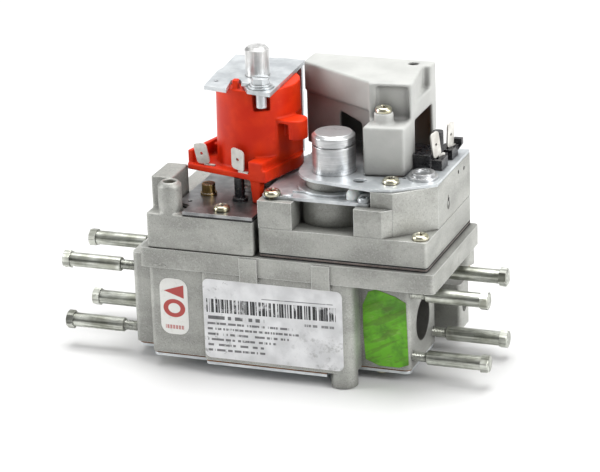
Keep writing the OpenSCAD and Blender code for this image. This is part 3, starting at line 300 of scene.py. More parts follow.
def cast_zinc(name="cast_zinc", pit=None, bore=None):
    """Die-cast zinc: fine blasted grain, cloudy flow marks, edges paled by rubbing and as painted highlights,
    painted shade in corners.

    bore is the radius of the port, whose inside is darkened as painted shade. pit is the middle of a teardrop
    pit, whose rim is darkened as painted shade.
    """
    f = Finish(name, metallic=0.6)
    grain = f.clouds(0.9, detail=3, rough=0.65)
    speck = f.clouds(0.35, detail=2, seed=3)
    flow = f.clouds(16, detail=5, seed=1, place=f.stretched(0.6, 0.6, 1.3))
    stain = f.clouds(5, detail=4, seed=7).fade(0.56, 0.74)
    tone = f.mix(flow.fade(0.3, 0.7), (0.31, 0.313, 0.292), (0.47, 0.475, 0.445))
    tone = f.mix(grain.fade(0.5, 0.68) * 0.28, tone, (0.70, 0.705, 0.685))
    tone = f.mix(speck.fade(0.54, 0.66) * 0.45, tone, (0.14, 0.14, 0.13))
    tone = f.mix(stain * 0.3, tone, (0.19, 0.185, 0.17))
    # painted highlight: edges paled where light catches them, together with some rubbing
    tone = f.mix(f.edges(0.6) * 0.8, tone, (0.86, 0.865, 0.85))
    # painted shade: darker deep in corners and gaps
    shade = f.sum("MAXIMUM", f.crevices(3) * 0.85, f.crevices(20) * 0.34)
    relief = grain + 0.5 * speck
    x, y, z = f.apart(f.place)
    if bore:
        in_port = (y ** 2 + z ** 2) < (bore + 0.3) ** 2
        # painted shade inside the port
        shade = f.sum("MAXIMUM", shade, in_port * (0.62 + 0.3 * flow))
    if pit:
        drop = z - pit.z / MM
        taper = f.sum("MAXIMUM", 0.62 + 0.14 * drop, 0.4)
        reach = (((y - pit.y / MM) * taper) ** 2 + (drop * 0.27) ** 2) ** 0.5
        on_side = x > pit.x / MM
        hole = (1 - reach.fade(0.75, 1.05)) * on_side
        # painted shade round the rim of the pit
        shade = f.sum("MAXIMUM", shade, inside(reach, 0.45, 1.0, blur=0.15) * on_side * 0.8)
        relief = relief - 6 * hole
    f.colour(f.mix(shade, tone, (0.045, 0.042, 0.036)))
    f.roughness(0.42 + 0.14 * flow + 0.1 * grain)
    f.wear(relief, depth=0.12, strength=0.7, radius=0.5)
    return f


def plated(name, low, high, rough, brush=(1, 1, 1), marks=0.3, streaks=0.0, metallic=1.0,
           crevice_shade=(0.04, 0.038, 0.034)):
    """Plated or bare metal between two tones: cloudy plating, brush lines and small scuffs."""
    f = Finish(name, metallic=metallic)
    cloud = f.clouds(7, detail=4, seed=2)
    line = f.clouds(1.1, detail=3, seed=5, place=f.stretched(*brush))
    scuff = f.clouds(2.2, detail=5, seed=9, rough=0.7).fade(0.58, 0.72)
    tone = f.mix(cloud.fade(0.3, 0.7), low, high)
    tone = f.mix(scuff * marks, tone, tuple(0.55 * part for part in low))
    tone = f.mix(line.fade(0.42, 0.62) * streaks, tone, tuple(0.22 * part for part in low))
    # painted shade: corners and gaps darken towards the given crevice colour
    tone = f.mix(f.crevices(1.5) * 0.75, tone, crevice_shade)
    # painted highlight: edges paled where light catches them
    f.colour(f.mix(f.edges(0.3) * 0.5, tone, (0.85, 0.85, 0.84)))
    f.roughness(rough + 0.12 * cloud + 0.2 * scuff * marks)
    f.wear(line + 0.4 * cloud, depth=0.03, strength=0.5, radius=0.25)
    return f


def zinc_steel():
    """Bluish zinc on the pressed plates and the yoke, brushed along X."""
    return plated("zinc_steel", (0.50, 0.53, 0.55), (0.70, 0.73, 0.745), 0.34, brush=(0.3, 3, 1),
                  marks=0.35, metallic=0.72)


def dark_steel():
    """Darkened sheet under the orange coil."""
    return plated("dark_steel", (0.22, 0.225, 0.23), (0.42, 0.425, 0.43), 0.27, brush=(0.4, 2.5, 1),
                  marks=0.5)


def brown_steel():
    """Browned edge of the thin plate between the two gaskets."""
    return plated("brown_steel", (0.10, 0.075, 0.065), (0.26, 0.21, 0.19), 0.42, marks=0.4, metallic=0.6)


def bolt_zinc():
    """Bright zinc on the flange bolts with faint drawn lines along them, yellowed in places."""
    return plated("bolt_zinc", (0.36, 0.37, 0.31), (0.72, 0.74, 0.68), 0.3, brush=(0.05, 0.8, 0.8),
                  marks=0.5, streaks=0.55)


def yellow_zinc():
    """Yellow passivated screws, darkened to brown in their recesses as painted shade."""
    return plated("yellow_zinc", (0.44, 0.41, 0.27), (0.78, 0.77, 0.65), 0.24, marks=0.4,
                  crevice_shade=(0.10, 0.045, 0.015))


def brass():
    """Old brass, dull and marked."""
    return plated("brass", (0.22, 0.13, 0.045), (0.46, 0.32, 0.13), 0.28, marks=0.6)


def stainless():
    """Drawn tube and spring wire, streaked along Z."""
    return plated("stainless", (0.72, 0.72, 0.71), (0.92, 0.92, 0.91), 0.34, brush=(0.7, 0.7, 0.06),
                  marks=0.2, streaks=0.35, metallic=0.85)


def tin():
    """Dull tin on the push-on blades, a little scraped by plugs."""
    return plated("tin", (0.52, 0.50, 0.46), (0.80, 0.79, 0.75), 0.42, brush=(1, 1, 0.2),
                  marks=0.35, metallic=0.5)


def nickel(top):
    """Bright turned cap and plug: fine rings round the cap's axis, and a polished face at its top."""
    f = Finish("nickel", metallic=0.85)
    x, y, z = f.apart(f.place)
    reach = ((x - top.x / MM) ** 2 + (y - top.y / MM) ** 2) ** 0.5
    lathe = f.node("CombineXYZ", sockets={0: reach, 1: z * 0.9})
    ring = f.node("TexNoise", {"noise_dimensions": "2D"}, {"Vector": lathe, "Scale": 2.2, "Detail": 3})
    cloud = f.clouds(6, detail=4, seed=4)
    drawn = f.clouds(0.8, detail=3, seed=6, rough=0.6, place=f.stretched(0.06, 0.06, 1)).fade(0.4, 0.62)
    tone = f.mix(cloud.fade(0.35, 0.7), (0.50, 0.51, 0.52), (0.68, 0.685, 0.69))
    tone = f.mix(drawn * 0.3, tone, (0.22, 0.225, 0.23))
    # painted highlight: edges paled where light catches them
    tone = f.mix(f.edges(0.4) * 0.6, tone, (0.85, 0.85, 0.85))
    on_top = z.fade(top.z / MM - 0.5, top.z / MM - 0.1)
    f.colour(f.mix(on_top * 0.7, tone, (0.95, 0.96, 0.97)))
    f.roughness(0.2 + 0.12 * cloud + 0.08 * ring)
    f.wear(ring, depth=0.05, strength=0.5, radius=0.5)
    return f


def orange_plastic():
    """Orange-red glass-filled moulding with a faint grain, painted shade in the corners, painted highlights
    on edges and a few dull rubs.
    """
    f = Finish("orange_plastic")
    f.put(f.shader, "Specular IOR Level", 0.2)
    grain = f.clouds(0.6, detail=2)
    cloud = f.clouds(9, detail=4, seed=6)
    rub = f.clouds(3, detail=5, seed=8, rough=0.7).fade(0.6, 0.75)
    tone = f.mix(cloud.fade(0.3, 0.7), (0.58, 0.020, 0.003), (0.72, 0.040, 0.005))
    # a few dull rubs, and painted highlights along the edges
    tone = f.mix(rub * 0.25 + f.edges(0.5) * 0.5, tone, (0.95, 0.17, 0.05))
    # painted shade: darker in the corners
    f.colour(f.mix(f.crevices(5) * 0.7, tone, (0.20, 0.008, 0.004)))
    f.roughness(0.36 + 0.12 * cloud + 0.15 * rub)
    f.wear(grain, depth=0.03, strength=0.4, radius=0.7)
    return f


def grey_plastic():
    """Pale grey cover with a fine spark-eroded texture, a little grime, painted highlights on its edges and
    painted shade in its hollows.
    """
    f = Finish("grey_plastic")
    grain = f.clouds(0.6, detail=2)
    cloud = f.clouds(14, detail=4, seed=3)
    grime = f.clouds(4, detail=5, seed=5, rough=0.7).fade(0.58, 0.78)
    tone = f.mix(cloud.fade(0.3, 0.7), (0.40, 0.405, 0.388), (0.475, 0.48, 0.46))
    tone = f.mix(grain.fade(0.5, 0.7) * 0.15, tone, (0.40, 0.40, 0.385))
    tone = f.mix(grime * 0.25, tone, (0.36, 0.355, 0.32))
    # painted highlight: edges paled where light catches them
    tone = f.mix(f.edges(0.8) * 0.5, tone, (0.70, 0.70, 0.68))
    # painted shade: darker in corners and deep in hollows
    shade = f.sum("MAXIMUM", f.crevices(6) * 0.8, f.crevices(25) * 0.72)
    f.colour(f.mix(shade, tone, (0.03, 0.027, 0.027)))
    f.roughness(0.46 + 0.1 * grain)
    f.wear(grain, depth=0.04, strength=0.4, radius=1.1)
    return f


def black_plastic():
    """Black terminal block, dusty, with edges paled by wear and as painted highlights."""
    f = Finish("black_plastic")
    dust = f.clouds(1.6, detail=5, seed=2, rough=0.7).fade(0.42, 0.72)
    tone = f.mix(dust * 0.2, (0.008, 0.008, 0.010), (0.12, 0.115, 0.12))
    # edges paled by wear and as painted highlight
    f.colour(f.mix(f.edges(0.4) * 0.5, tone, (0.40, 0.39, 0.39)))
    f.roughness(0.24 + 0.3 * dust)
    f.wear(f.clouds(0.4, detail=2), depth=0.03, strength=0.4, radius=0.3)
    return f


def white_nylon():
    """White button with a soft, slightly clear body."""
    f = Finish("white_nylon", roughness=0.28, subsurface_weight=0.15)
    cloud = f.clouds(2, detail=3)
    f.colour(f.mix(cloud, (0.80, 0.80, 0.77), (0.88, 0.88, 0.86)))
    f.wear(cloud, depth=0.02, strength=0.3, radius=0.4)
    return f


def rubber(name, low, high, grain_size):
    """Rubber or gasket fibre between two tones, dull and grainy."""
    f = Finish(name)
    grain = f.clouds(grain_size, detail=3)
    cloud = f.clouds(4, detail=3, seed=4)
    f.colour(f.mix(cloud.fade(0.3, 0.7), low, high))
    f.roughness(0.62 + 0.2 * grain)
    f.wear(grain, depth=0.05, strength=0.6, radius=0.15)
    return f


def copper():
    """Enamelled wire lying in rings up the coil."""
    f = Finish("copper", metallic=0.9, roughness=0.3)
    z = f.apart(f.place)[2]
    turn = abs(((z * 2.2) % 1.0) - 0.5)
    f.colour(f.mix(turn * 1.6, (0.52, 0.20, 0.07), (0.70, 0.36, 0.16)))
    f.wear(turn, depth=0.12, strength=0.8, radius=0.1)
    return f


def foil(corner):
    """Silver rating label: rows of plain bars and strokes, rubbed and crumpled towards its lower right."""
    f = Finish("foil", metallic=0.4)
    x, _, z = f.apart(f.place)
    across = x - corner.x / MM
    down = corner.z / MM - z + 0.025 * across
    cloud = f.clouds(8, detail=4, seed=1)
    grain = f.clouds(0.5, detail=2, seed=2)
    rule = inside(down, 8.4, 8.8) * inside(across, 30, 66)
    code = f.node("TexNoise", {"noise_dimensions": "1D"}, {"W": across, "Scale": 0.95, "Detail": 2})
    bars = (code > 0.47) * inside(down, 10.2, 17.2) * inside(across, 1.5, 67.5)

    def strokes(first, pitch, size, width, share, seed):
        """Rows of short marks of one size, from first down at each pitch, about as long as width."""
        row = (down - first) % pitch
        step = f.sum("FLOOR", (down - first) * (1 / pitch)) * 7.3 + seed
        noise_at = f.node("CombineXYZ", sockets={0: across * (0.9 / size), 1: step})
        ink = f.node("TexNoise", {"noise_dimensions": "2D"}, {"Vector": noise_at, "Scale": 0.9, "Detail": 2})
        edge = width + 9 * f.sum("SINE", step * 2.7)
        return (ink > share) * inside(row, 0.3, 0.3 + size) * (across < edge) * across.fade(1.6, 1.8)

    first_line = strokes(18.6, 40, 1.8, 38, 0.47, 2) * (down > 18.6) * 0.85
    lines = strokes(22.0, 2.75, 1.15, 40, 0.45, 5) * inside(down, 22, 38.6)
    note = inside(down, 19.6, 20.9) * (inside(across, 51, 58) + inside(across, 60, 67)) * (code > 0.44)
    lower_right = across.fade(32, 56) * down.fade(18, 30)
    scuff = f.clouds(3.4, detail=6, seed=5, rough=0.72).fade(0.5, 0.66) * lower_right
    smudge = f.clouds(2.6, detail=5, seed=12, rough=0.7).fade(0.56, 0.66) * (1 - across.fade(8, 22))
    rubbed = 1 - f.clouds(6, detail=5, seed=8, rough=0.65).fade(0.56, 0.64) * 0.75
    tone = f.mix(cloud.fade(0.3, 0.7), (0.60, 0.605, 0.615), (0.78, 0.785, 0.795))
    tone = f.mix(scuff * 0.55, tone, (0.33, 0.335, 0.33))
    tone = f.mix(smudge * 0.55, tone, (0.16, 0.16, 0.16))
    ink = f.sum("MINIMUM", rule * 0.8 + bars + first_line + lines * 0.8 + note * 0.7, 1) * rubbed
    tone = f.mix(ink * 0.97, tone, (0.02, 0.02, 0.022))
    # painted highlight: edges paled where light catches them
    f.colour(f.mix(f.edges(0.4) * 0.6, tone, (0.85, 0.85, 0.85)))
    f.roughness(0.36 + 0.14 * cloud + 0.15 * scuff)
    f.wear(grain + 2.5 * scuff, depth=0.08, strength=0.5, radius=0.1)
    return f


def paper(low_corner, high_corner):
    """White sticker with a broad red ring, a red wedge over it and a row of strokes, marked by fingers."""
    f = Finish("paper", roughness=0.4)
    x, _, z = f.apart(f.place)
    across = x - 0.5 * (low_corner.x + high_corner.x) / MM
    down = high_corner.z / MM - z
    reach = ((across * 0.95) ** 2 + ((down - 15.4) * 1.15) ** 2) ** 0.5
    ring = inside(reach, 3.0, 5.4, blur=0.1)
    wedge = (abs(down - 6.6) < (across + 5.2) * 0.33) * inside(across, -5.2, 5.2)
    dash = ((across + 30) % 1.5).fade(0.25, 0.45) * inside(down, 24.2, 26.2) * inside(across, -4.9, 4.9)
    grime = f.clouds(2.5, detail=5, seed=4, rough=0.7).fade(0.52, 0.72)
    tone = f.mix(grime * 0.3, (0.80, 0.80, 0.77), (0.45, 0.43, 0.38))
    ink = f.sum("MINIMUM", ring + wedge + dash * 0.75, 1)
    tone = f.mix(ink * 0.95, tone, (0.42, 0.022, 0.014))
    f.colour(f.mix(f.edges(0.3) * 0.5, tone, (0.5, 0.49, 0.45)))
    f.wear(f.clouds(1.2, detail=3), depth=0.03, strength=0.4, radius=0.1)
    return f


def green_tape():
    """Bright green sealing tape, darkened to olive in its wrinkles as painted shade, worn at its edges."""
    f = Finish("green_tape")
    cloud = f.clouds(9, detail=4, seed=2, rough=0.6)
    smear = f.clouds(3.5, detail=5, seed=6, rough=0.7, place=f.stretched(0.5, 1, 1.2))
    x, _, z = f.apart(f.place)
    aslant = f.node("CombineXYZ", sockets={0: (z - 0.45 * x) * 0.28, 1: (x + 0.45 * z) * 0.05})
    fold = f.node("TexNoise", {"noise_dimensions": "2D"}, {"Vector": aslant, "Scale": 1.0, "Detail": 3})
    stale = f.clouds(7, detail=5, seed=9, rough=0.6).fade(0.55, 0.68)
    tone = f.mix(cloud.fade(0.36, 0.6), (0.085, 0.27, 0.012), (0.15, 0.50, 0.015))
    tone = f.mix(smear.fade(0.54, 0.7) * 0.55, tone, (0.30, 0.52, 0.10))
    tone = f.mix(stale * 0.55, tone, (0.06, 0.10, 0.02))
    # painted shade: darker along the wrinkles
    tone = f.mix(fold.fade(0.52, 0.6) * 0.4, tone, (0.10, 0.13, 0.02))
    f.colour(f.mix(f.edges(0.5) * 0.6, tone, (0.16, 0.13, 0.03)))
    f.roughness(0.4 + 0.2 * cloud)
    f.wear(cloud + 0.5 * smear + fold, depth=0.6, strength=0.7, radius=0.1)
    return f


# ---- meshes ----


def islands(node):
    """The lowest and highest corner of each separate solid of a CAD node, from front to rear."""
    mesh = bmesh.new()
    mesh.from_mesh(frame["nodes"][node].data)
    bmesh.ops.remove_doubles(mesh, verts=mesh.verts, dist=1e-6)
    left = set(mesh.verts)
    found = []
    while left:
        pile = [left.pop()]
        reached = list(pile)
        while pile:
            for edge in pile.pop().link_edges:
                for vert in edge.verts:
                    if vert in left:
                        left.discard(vert)
                        pile.append(vert)
                        reached.append(vert)
        places = [vert.co for vert in reached]
        low = Vector([min(place[axis] for place in places) for axis in range(3)])
        high = Vector([max(place[axis] for place in places) for axis in range(3)])
        found.append((low, high))
    mesh.free()
    return sorted(found, key=lambda corners: corners[0].y)


def loft(mesh, rings, to_frame):
    """Skins rings of points, each a list of the same length, and closes both ends."""
    rows = [[mesh.verts.new(to_frame @ Vector(point)) for point in ring] for ring in rings]
    for below, above in zip(rows, rows[1:]):
        for i in range(len(below)):
            after = (i + 1) % len(below)
            mesh.faces.new((below[i], below[after], above[after], above[i]))
    mesh.faces.new(list(reversed(rows[0])))
    mesh.faces.new(rows[-1])


def link(name, data):
    """A new object of some data, placed in the scene."""
    made = bpy.data.objects.new(name, data)
    bpy.context.scene.collection.objects.link(made)
    return made


def corners_of(node):
    """The lowest and highest corner of a CAD node."""
    return [Vector(corner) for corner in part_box(node)]


def round_ring(radius, height, steps=48):
    """Points of a circle round Z."""
    angles = [TURN * i / steps for i in range(steps)]
    return [(radius * math.cos(angle), radius * math.sin(angle), height) for angle in angles]


def piece(name, mesh, finish, body, stands_for=(), smooth_angle=35):
    """Makes an object of the mesh, smooth up to an angle, riding on a body in place of some CAD nodes."""
    bmesh.ops.recalc_face_normals(mesh, faces=mesh.faces)
    sharp = math.radians(smooth_angle)
    for face in mesh.faces:
        face.smooth = True
    for edge in mesh.edges:
        edge.smooth = len(edge.link_faces) == 2 and edge.calc_face_angle(0) < sharp
    data = bpy.data.meshes.new(name)
    mesh.to_mesh(data)
    mesh.free()
    made = link(name, data)
    made.data.materials.append(finish.material)
    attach(made, body)
    if stands_for:
        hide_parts(*stands_for)
    return made


# ---- fasteners ----


def thread_rings(radius, start, end, steps):
    """Rings of a V thread between two heights."""
    count = round((end - start) / THREAD_PITCH * THREAD_STEPS)
    rings = []
    for k in range(count + 1):
        height = start + (end - start) * k / count
        ring = []
        for i in range(steps):
            phase = (height / THREAD_PITCH - i / steps) % 1
            depth = THREAD_DEPTH * abs(2 * phase - 1)
            angle = TURN * i / steps
            ring.append(((radius - depth) * math.cos(angle), (radius - depth) * math.sin(angle), height))
        rings.append(ring)
    return rings


def hex_radius(across_flats, angle):
    """Reach of a hexagon at an angle from one of its corners."""
    return across_flats / 2 / math.cos((angle % (TURN / 6)) - TURN / 12)


def hex_head_rings(across_flats, start, height, steps):
    """A hexagon head with its outer corners turned off at 30 degrees."""
    crown = across_flats * 0.46
    top = start + height
    outer = []
    lower = []
    for i in range(steps):
        angle = TURN * i / steps
        reach = hex_radius(across_flats, angle)
        lower.append((reach * math.cos(angle), reach * math.sin(angle), start))
        drop = (reach - crown) * math.tan(math.radians(30))
        outer.append((reach * math.cos(angle), reach * math.sin(angle), top - drop))
    return [lower, outer, round_ring(crown, top, steps), round_ring(crown * 0.86, top, steps)]


def flange_bolts(node, mount, finish):
    """The four long bolts of one end, with bare threads between the shank and the casting."""
    pattern = mounts[mount]
    middle = Vector(pattern["pos_m"])
    outward = Vector(pattern["axis"])
    low, high = corners_of(node)
    pitch = pattern["dims"]["spacing_x_mm"] * MM
    shank = pattern["dims"]["stud_r_mm"] * MM
    head_af = high.z - low.z - pitch
    far = max((low - middle).x * outward.x, (high - middle).x * outward.x)
    near = min((low - middle).x * outward.x, (high - middle).x * outward.x)
    head_at = far - HEAD_H
    mesh = bmesh.new()
    for side in (-1, 1):
        for height in (-1, 1):
            spot = middle + Vector((0, side * pitch / 2, height * pitch / 2))
            to_frame = Matrix.Translation(spot) @ outward.to_track_quat("Z", "Y").to_matrix().to_4x4()
            head_turn = 0.4 * side + 0.9 * height
            rings = thread_rings(BOLT_THREAD_R, near, -head_at, BOLT_STEPS)
            rings.append(round_ring(shank - SHANK_EDGE, -head_at, BOLT_STEPS))
            rings.append(round_ring(shank, SHANK_EDGE - head_at, BOLT_STEPS))
            rings.append(round_ring(shank, head_at, BOLT_STEPS))
            rings += hex_head_rings(head_af, head_at, HEAD_H, BOLT_STEPS)
            loft(mesh, rings, to_frame @ Matrix.Rotation(head_turn, 4, "Z"))
    return piece(node.replace("bolts", "bolts_threaded"), mesh, finish, "valve", (node,), 28)


def cross_recess(mesh, top, width, depth, turn):
    """Cuts a cross slot into the head of a screw; the arms narrow towards the bottom."""
    cutter = bmesh.new()
    for quarter in (0, 1):
        rings = []
        for height, share in ((-depth, 0.55), (0.3 * MM, 1.0)):
            long, thin = width * share / 2, RECESS_ARM * (0.75 + 0.25 * share)
            square = ((long, thin), (-long, thin), (-long, -thin), (long, -thin))
            rings.append([(x, y, height) for x, y in square])
        loft(cutter, rings, Matrix.Translation(top) @ Matrix.Rotation(turn + quarter * TURN / 4, 4, "Z"))
    bmesh.ops.recalc_face_normals(cutter, faces=cutter.faces)
    return cut(mesh, cutter)


def cut(mesh, cutter):
    """The mesh with the cutter taken out of it."""
    objects = []
    for part in (mesh, cutter):
        data = bpy.data.meshes.new("work")
        part.to_mesh(data)
        part.free()
        objects.append(link("work", data))
    target, tool = objects
    knife = target.modifiers.new("cut", "BOOLEAN")
    knife.object = tool
    knife.operation = "DIFFERENCE"
    knife.solver = "EXACT"
    knife.use_self = True
    bpy.context.view_layer.update()
    result = bmesh.new()
    result.from_mesh(target.evaluated_get(bpy.context.evaluated_depsgraph_get()).to_mesh())
    for made in objects:
        data = made.data
        bpy.data.objects.remove(made)
        bpy.data.meshes.remove(data)
    return result


def pan_profile(head_r, head_h, thread_r, length):
    """Rings of a pan head screw whose head stands on height 0."""
    rings = [round_ring(thread_r, -length), round_ring(thread_r, 0), round_ring(head_r * 0.97, 0)]
    rings.append(round_ring(head_r, head_h * 0.2))
    for k in range(7):
        angle = math.radians(90 * k / 7)
        reach = head_r * (0.62 + 0.38 * math.cos(angle))
        rings.append(round_ring(reach, head_h * (0.4 + 0.6 * math.sin(angle))))
    rings.append(round_ring(head_r * 0.3, head_h))
    return rings


def pan_screws(node, finish, upside_down=False):
    """Cross screws with pan heads, or low rivets, in place of every solid of a node."""
    whole = bmesh.new()
    for index, (low, high) in enumerate(islands(node)):
        wide = high.x - low.x
        tall = high.z - low.z
        middle_x, middle_y = (low.x + high.x) / 2, (low.y + high.y) / 2
        if tall < RIVET_H:
            rivet = [round_ring(wide / 2 * share, low.z + tall * up) for share, up in RIVET_PROFILE]
            loft(whole, rivet, Matrix.Translation((middle_x, middle_y, 0)))
            continue
        head_h = LOW_HEAD_H if upside_down else PAN_HEAD_H
        seat = low.z + head_h if upside_down else high.z - head_h
        length = high.z - seat if upside_down else seat - low.z
        flip = -1 if upside_down else 1
        thread_r = SMALL_THREAD_R if wide < SMALL_HEAD_W else LARGE_THREAD_R
        mesh = bmesh.new()
        loft(mesh, pan_profile(wide / 2, head_h, thread_r, length), Matrix.Identity(4))
        bmesh.ops.recalc_face_normals(mesh, faces=mesh.faces)
        slot_turn = 0.6 + 1.1 * index
        mesh = cross_recess(mesh, Vector((0, 0, head_h)), wide * 0.62, RECESS_DEPTH, slot_turn)
        spot = Matrix.Translation((middle_x, middle_y, seat))
        bmesh.ops.transform(mesh, matrix=spot @ Matrix.Diagonal((1, flip, flip, 1)), verts=mesh.verts)
        data = bpy.data.meshes.new("work")
        mesh.to_mesh(data)
        mesh.free()
        whole.from_mesh(data)
        bpy.data.meshes.remove(data)
    return piece(node + "_turned", whole, finish, "valve", (node,), 30)


# ---- label, sticker, tape ----


def rounded_outline(low, high, radius, steps=7):
    """Corners of a rectangle in X and Z, each rounded by the radius."""
    middle = (low + high) / 2
    half = (high - low) / 2
    outline = []
    for quarter, (right, up) in enumerate(((1, 1), (-1, 1), (-1, -1), (1, -1))):
        for k in range(steps):
            angle = TURN / 4 * (quarter + k / (steps - 1))
            outline.append((middle.x + right * (half.x - radius) + radius * math.cos(angle),
                            middle.z + up * (half.z - radius) + radius * math.sin(angle)))
    return outline


def cut_outline(low, high, shares):
    """Corners of a hand-cut sheet, each a share of a box's width and height."""
    size = high - low
    return [(low.x + size.x * across, low.z + size.z * up) for across, up in shares]


def stuck_sheet(name, node, finish, outline, crease, lift, bow=0.5):
    """A thin sheet on a face that looks along -Y, with creases and slightly lifted corners.

    Rings of points run from its edge in to its spine, the middle line of its longer side.
    """
    low, high = corners_of(node)
    middle = (low + high) / 2
    half = (high - low) / 2
    dense = []
    for here, after in zip(outline, outline[1:] + outline[:1]):
        count = max(1, round(math.dist(here, after) / SHEET_STEP))
        run_x, run_z = after[0] - here[0], after[1] - here[1]
        dense += [(here[0] + run_x * k / count, here[1] + run_z * k / count) for k in range(count)]
    spine_x = max(0, half.x - half.z)
    spine_z = max(0, half.z - half.x)

    def front(x, z):
        """How far forward the sheet's face lies at a place."""
        ripple = noise.noise(Vector((x / crease, 3.1, z / crease)))
        ripple += bow * noise.noise(Vector((x * 3 / crease, 7, z * 3 / crease)))
        corner = max(0, abs(x - middle.x) / half.x + abs(z - middle.z) / half.z - LIFT_FROM)
        return low.y + (high.y - low.y) * 0.35 * (1 + 0.5 * ripple) - lift * corner

    mesh = bmesh.new()
    rows = [[mesh.verts.new((x, high.y, z)) for x, z in dense]]
    for layer in range(SHEET_LAYERS):
        share = 1 - layer / (SHEET_LAYERS - 1) * 0.995
        row = []
        for x, z in dense:
            root_x = middle.x + max(-spine_x, min(spine_x, x - middle.x))
            root_z = middle.z + max(-spine_z, min(spine_z, z - middle.z))
            spot = (root_x + (x - root_x) * share, root_z + (z - root_z) * share)
            row.append(mesh.verts.new((spot[0], front(*spot), spot[1])))
        rows.append(row)
    for below, above in zip(rows, rows[1:]):
        for i in range(len(below)):
            after = (i + 1) % len(below)
            mesh.faces.new((below[i], below[after], above[after], above[i]))
    mesh.faces.new(rows[-1])
    mesh.faces.new(list(reversed(rows[0])))
    return piece(name, mesh, finish, "valve", (node,), 60)


def blade(mesh, width, height, slant, to_frame):
    """Adds a flat push-on blade with round corners and a small hole, its foot edge slanting."""
    foot, tip = Vector((-width / 2, 0, 0)), Vector((width / 2, 0, height))
    outline = rounded_outline(foot, tip, BLADE_CORNER_R, steps=5)
    count = len(outline)
    angles = [TURN * (i + 0.5) / count for i in range(count)]
    hole = [(BLADE_HOLE_R * math.cos(angle), height / 2 + BLADE_HOLE_R * math.sin(angle)) for angle in angles]
    rows = []
    for ring, side in ((outline, 1), (hole, 1), (hole, -1), (outline, -1)):
        points = [Vector((x, side * BLADE_THICK / 2, z + slant * x)) for x, z in ring]
        rows.append([mesh.verts.new(to_frame @ point) for point in points])
    for below, above in zip(rows, rows[1:] + rows[:1]):
        for i in range(count):
            after = (i + 1) % count
            mesh.faces.new((below[i], below[after], above[after], above[i]))


def push_on_blades(name, node, finish, blades):
    """The two blades of a coil.

    Each is given by its foot's place from the node's lowest corner, its turn round Z, its lean, its width
    and height, and the slant of its foot edge.
    """
    low = corners_of(node)[0]
    mesh = bmesh.new()
    for foot, turn, lean, width, height, slant in blades:
        to_frame = Matrix.Translation(low + Vector(foot) * MM)
        to_frame = to_frame @ Matrix.Rotation(math.radians(turn), 4, "Z")
        leaning = to_frame @ Matrix.Rotation(math.radians(lean), 4, "Y")
        blade(mesh, width * MM, height * MM, slant, leaning)
        near, far = FOOT_START, width / 2 * MM + FOOT_REACH
        foot_ring = ((near, -FOOT_HALF), (far, -FOOT_HALF), (far, FOOT_HALF), (near, FOOT_HALF))
        level = slant * width / 2 * MM
        loft(mesh, [[(x, y, level + z) for x, y in foot_ring] for z in (FOOT_LOW, FOOT_HIGH)], to_frame)
    return piece(name, mesh, finish, "valve", (node,))


def casting_run(finish):
    """The small lump of metal left on the lower front edge of the deck flange."""
    head_low = corners_of("head_casting")[0]
    front = corners_of("valve_body")[0].y
    centre = Vector((head_low.x, front, head_low.z)) + RUN_PLACE
    mesh = bmesh.new()
    bmesh.ops.create_icosphere(mesh, subdivisions=4, radius=1)
    for vert in mesh.verts:
        bulge = 1 + 0.5 * noise.noise(vert.co * 1.7)
        vert.co = centre + vert.co * RUN_HALF_SIZE * bulge
    return piece("casting_run", mesh, finish, "valve", (), 80)


# ---- springs and soft edges ----


def trim(mesh, level, way):
    """Cuts away what lies above a level, or below it where way is -1, and closes the cut."""
    whole = mesh.verts[:] + mesh.edges[:] + mesh.faces[:]
    bmesh.ops.bisect_plane(mesh, geom=whole, plane_co=(0, 0, level), plane_no=(0, 0, way), clear_outer=True)
    bmesh.ops.holes_fill(mesh, edges=[edge for edge in mesh.edges if edge.is_boundary])


def short_spring(node, finish, joint, suffix="wire", share=(0, 1)):
    """A copy of a spring, or of a share of its height; the joint's travel is read but changes nothing."""
    low, high = corners_of(node)
    joints = frame["record"]["behaviour"]["joints"]
    travel = next(entry["range_m"][1] for entry in joints if entry["name"] == joint)
    bottom, top = (low.z + part * (high.z - low.z) for part in share)
    mesh = bmesh.new()
    mesh.from_mesh(frame["nodes"][node].data)
    if bottom > low.z:
        trim(mesh, bottom, -1)
    if top < high.z:
        trim(mesh, top, 1)
    made = piece(f"{node}_{suffix}", mesh, finish, "valve", (node,))
    1 - travel / (top - bottom)
    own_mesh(made)


def melt(shown, grain, rounds):
    """Rounds every edge of a moulding: the surface is rebuilt from grain millimetres and smoothed."""
    rebuilt = shown.modifiers.new("rebuilt", "REMESH")
    rebuilt.mode = "VOXEL"
    rebuilt.voxel_size = grain * MM
    rebuilt.use_smooth_shade = True
    smooth = shown.modifiers.new("smooth", "SMOOTH")
    smooth.factor = 0.5
    smooth.iterations = rounds


def soften(shown, width):
    """Rounds the sharp edges of a cast node by width millimetres."""
    rounding = shown.modifiers.new("soft_edges", "BEVEL")
    rounding.width = width * MM
    rounding.segments = 2
    rounding.limit_method = "ANGLE"
    rounding.angle_limit = math.radians(40)
    rounding.use_clamp_overlap = True


# ---- dress ----

# how far the edges of each casting are rounded, in millimetres
SOFT_EDGES = {"valve_body": 0.5, "regulator_casting": 0.4, "regulator_base": 0.5}

# grain in millimetres and rounds of smoothing of each part whose every edge is rounded
MELTED = {"coil_cover": (0.6, 16), "coil_body": (0.4, 5), "head_casting": (0.5, 6)}

# corners of the tape as it was cut by hand, in shares of its width and height
TAPE_CUT = [(0, 0.78), (0.13, 0.96), (0.3, 1), (0.72, 0.93), (0.96, 0.86), (1, 0.05), (0.78, 0.0),
            (0.34, 0.0), (0.04, 0.07), (0.0, 0.4)]

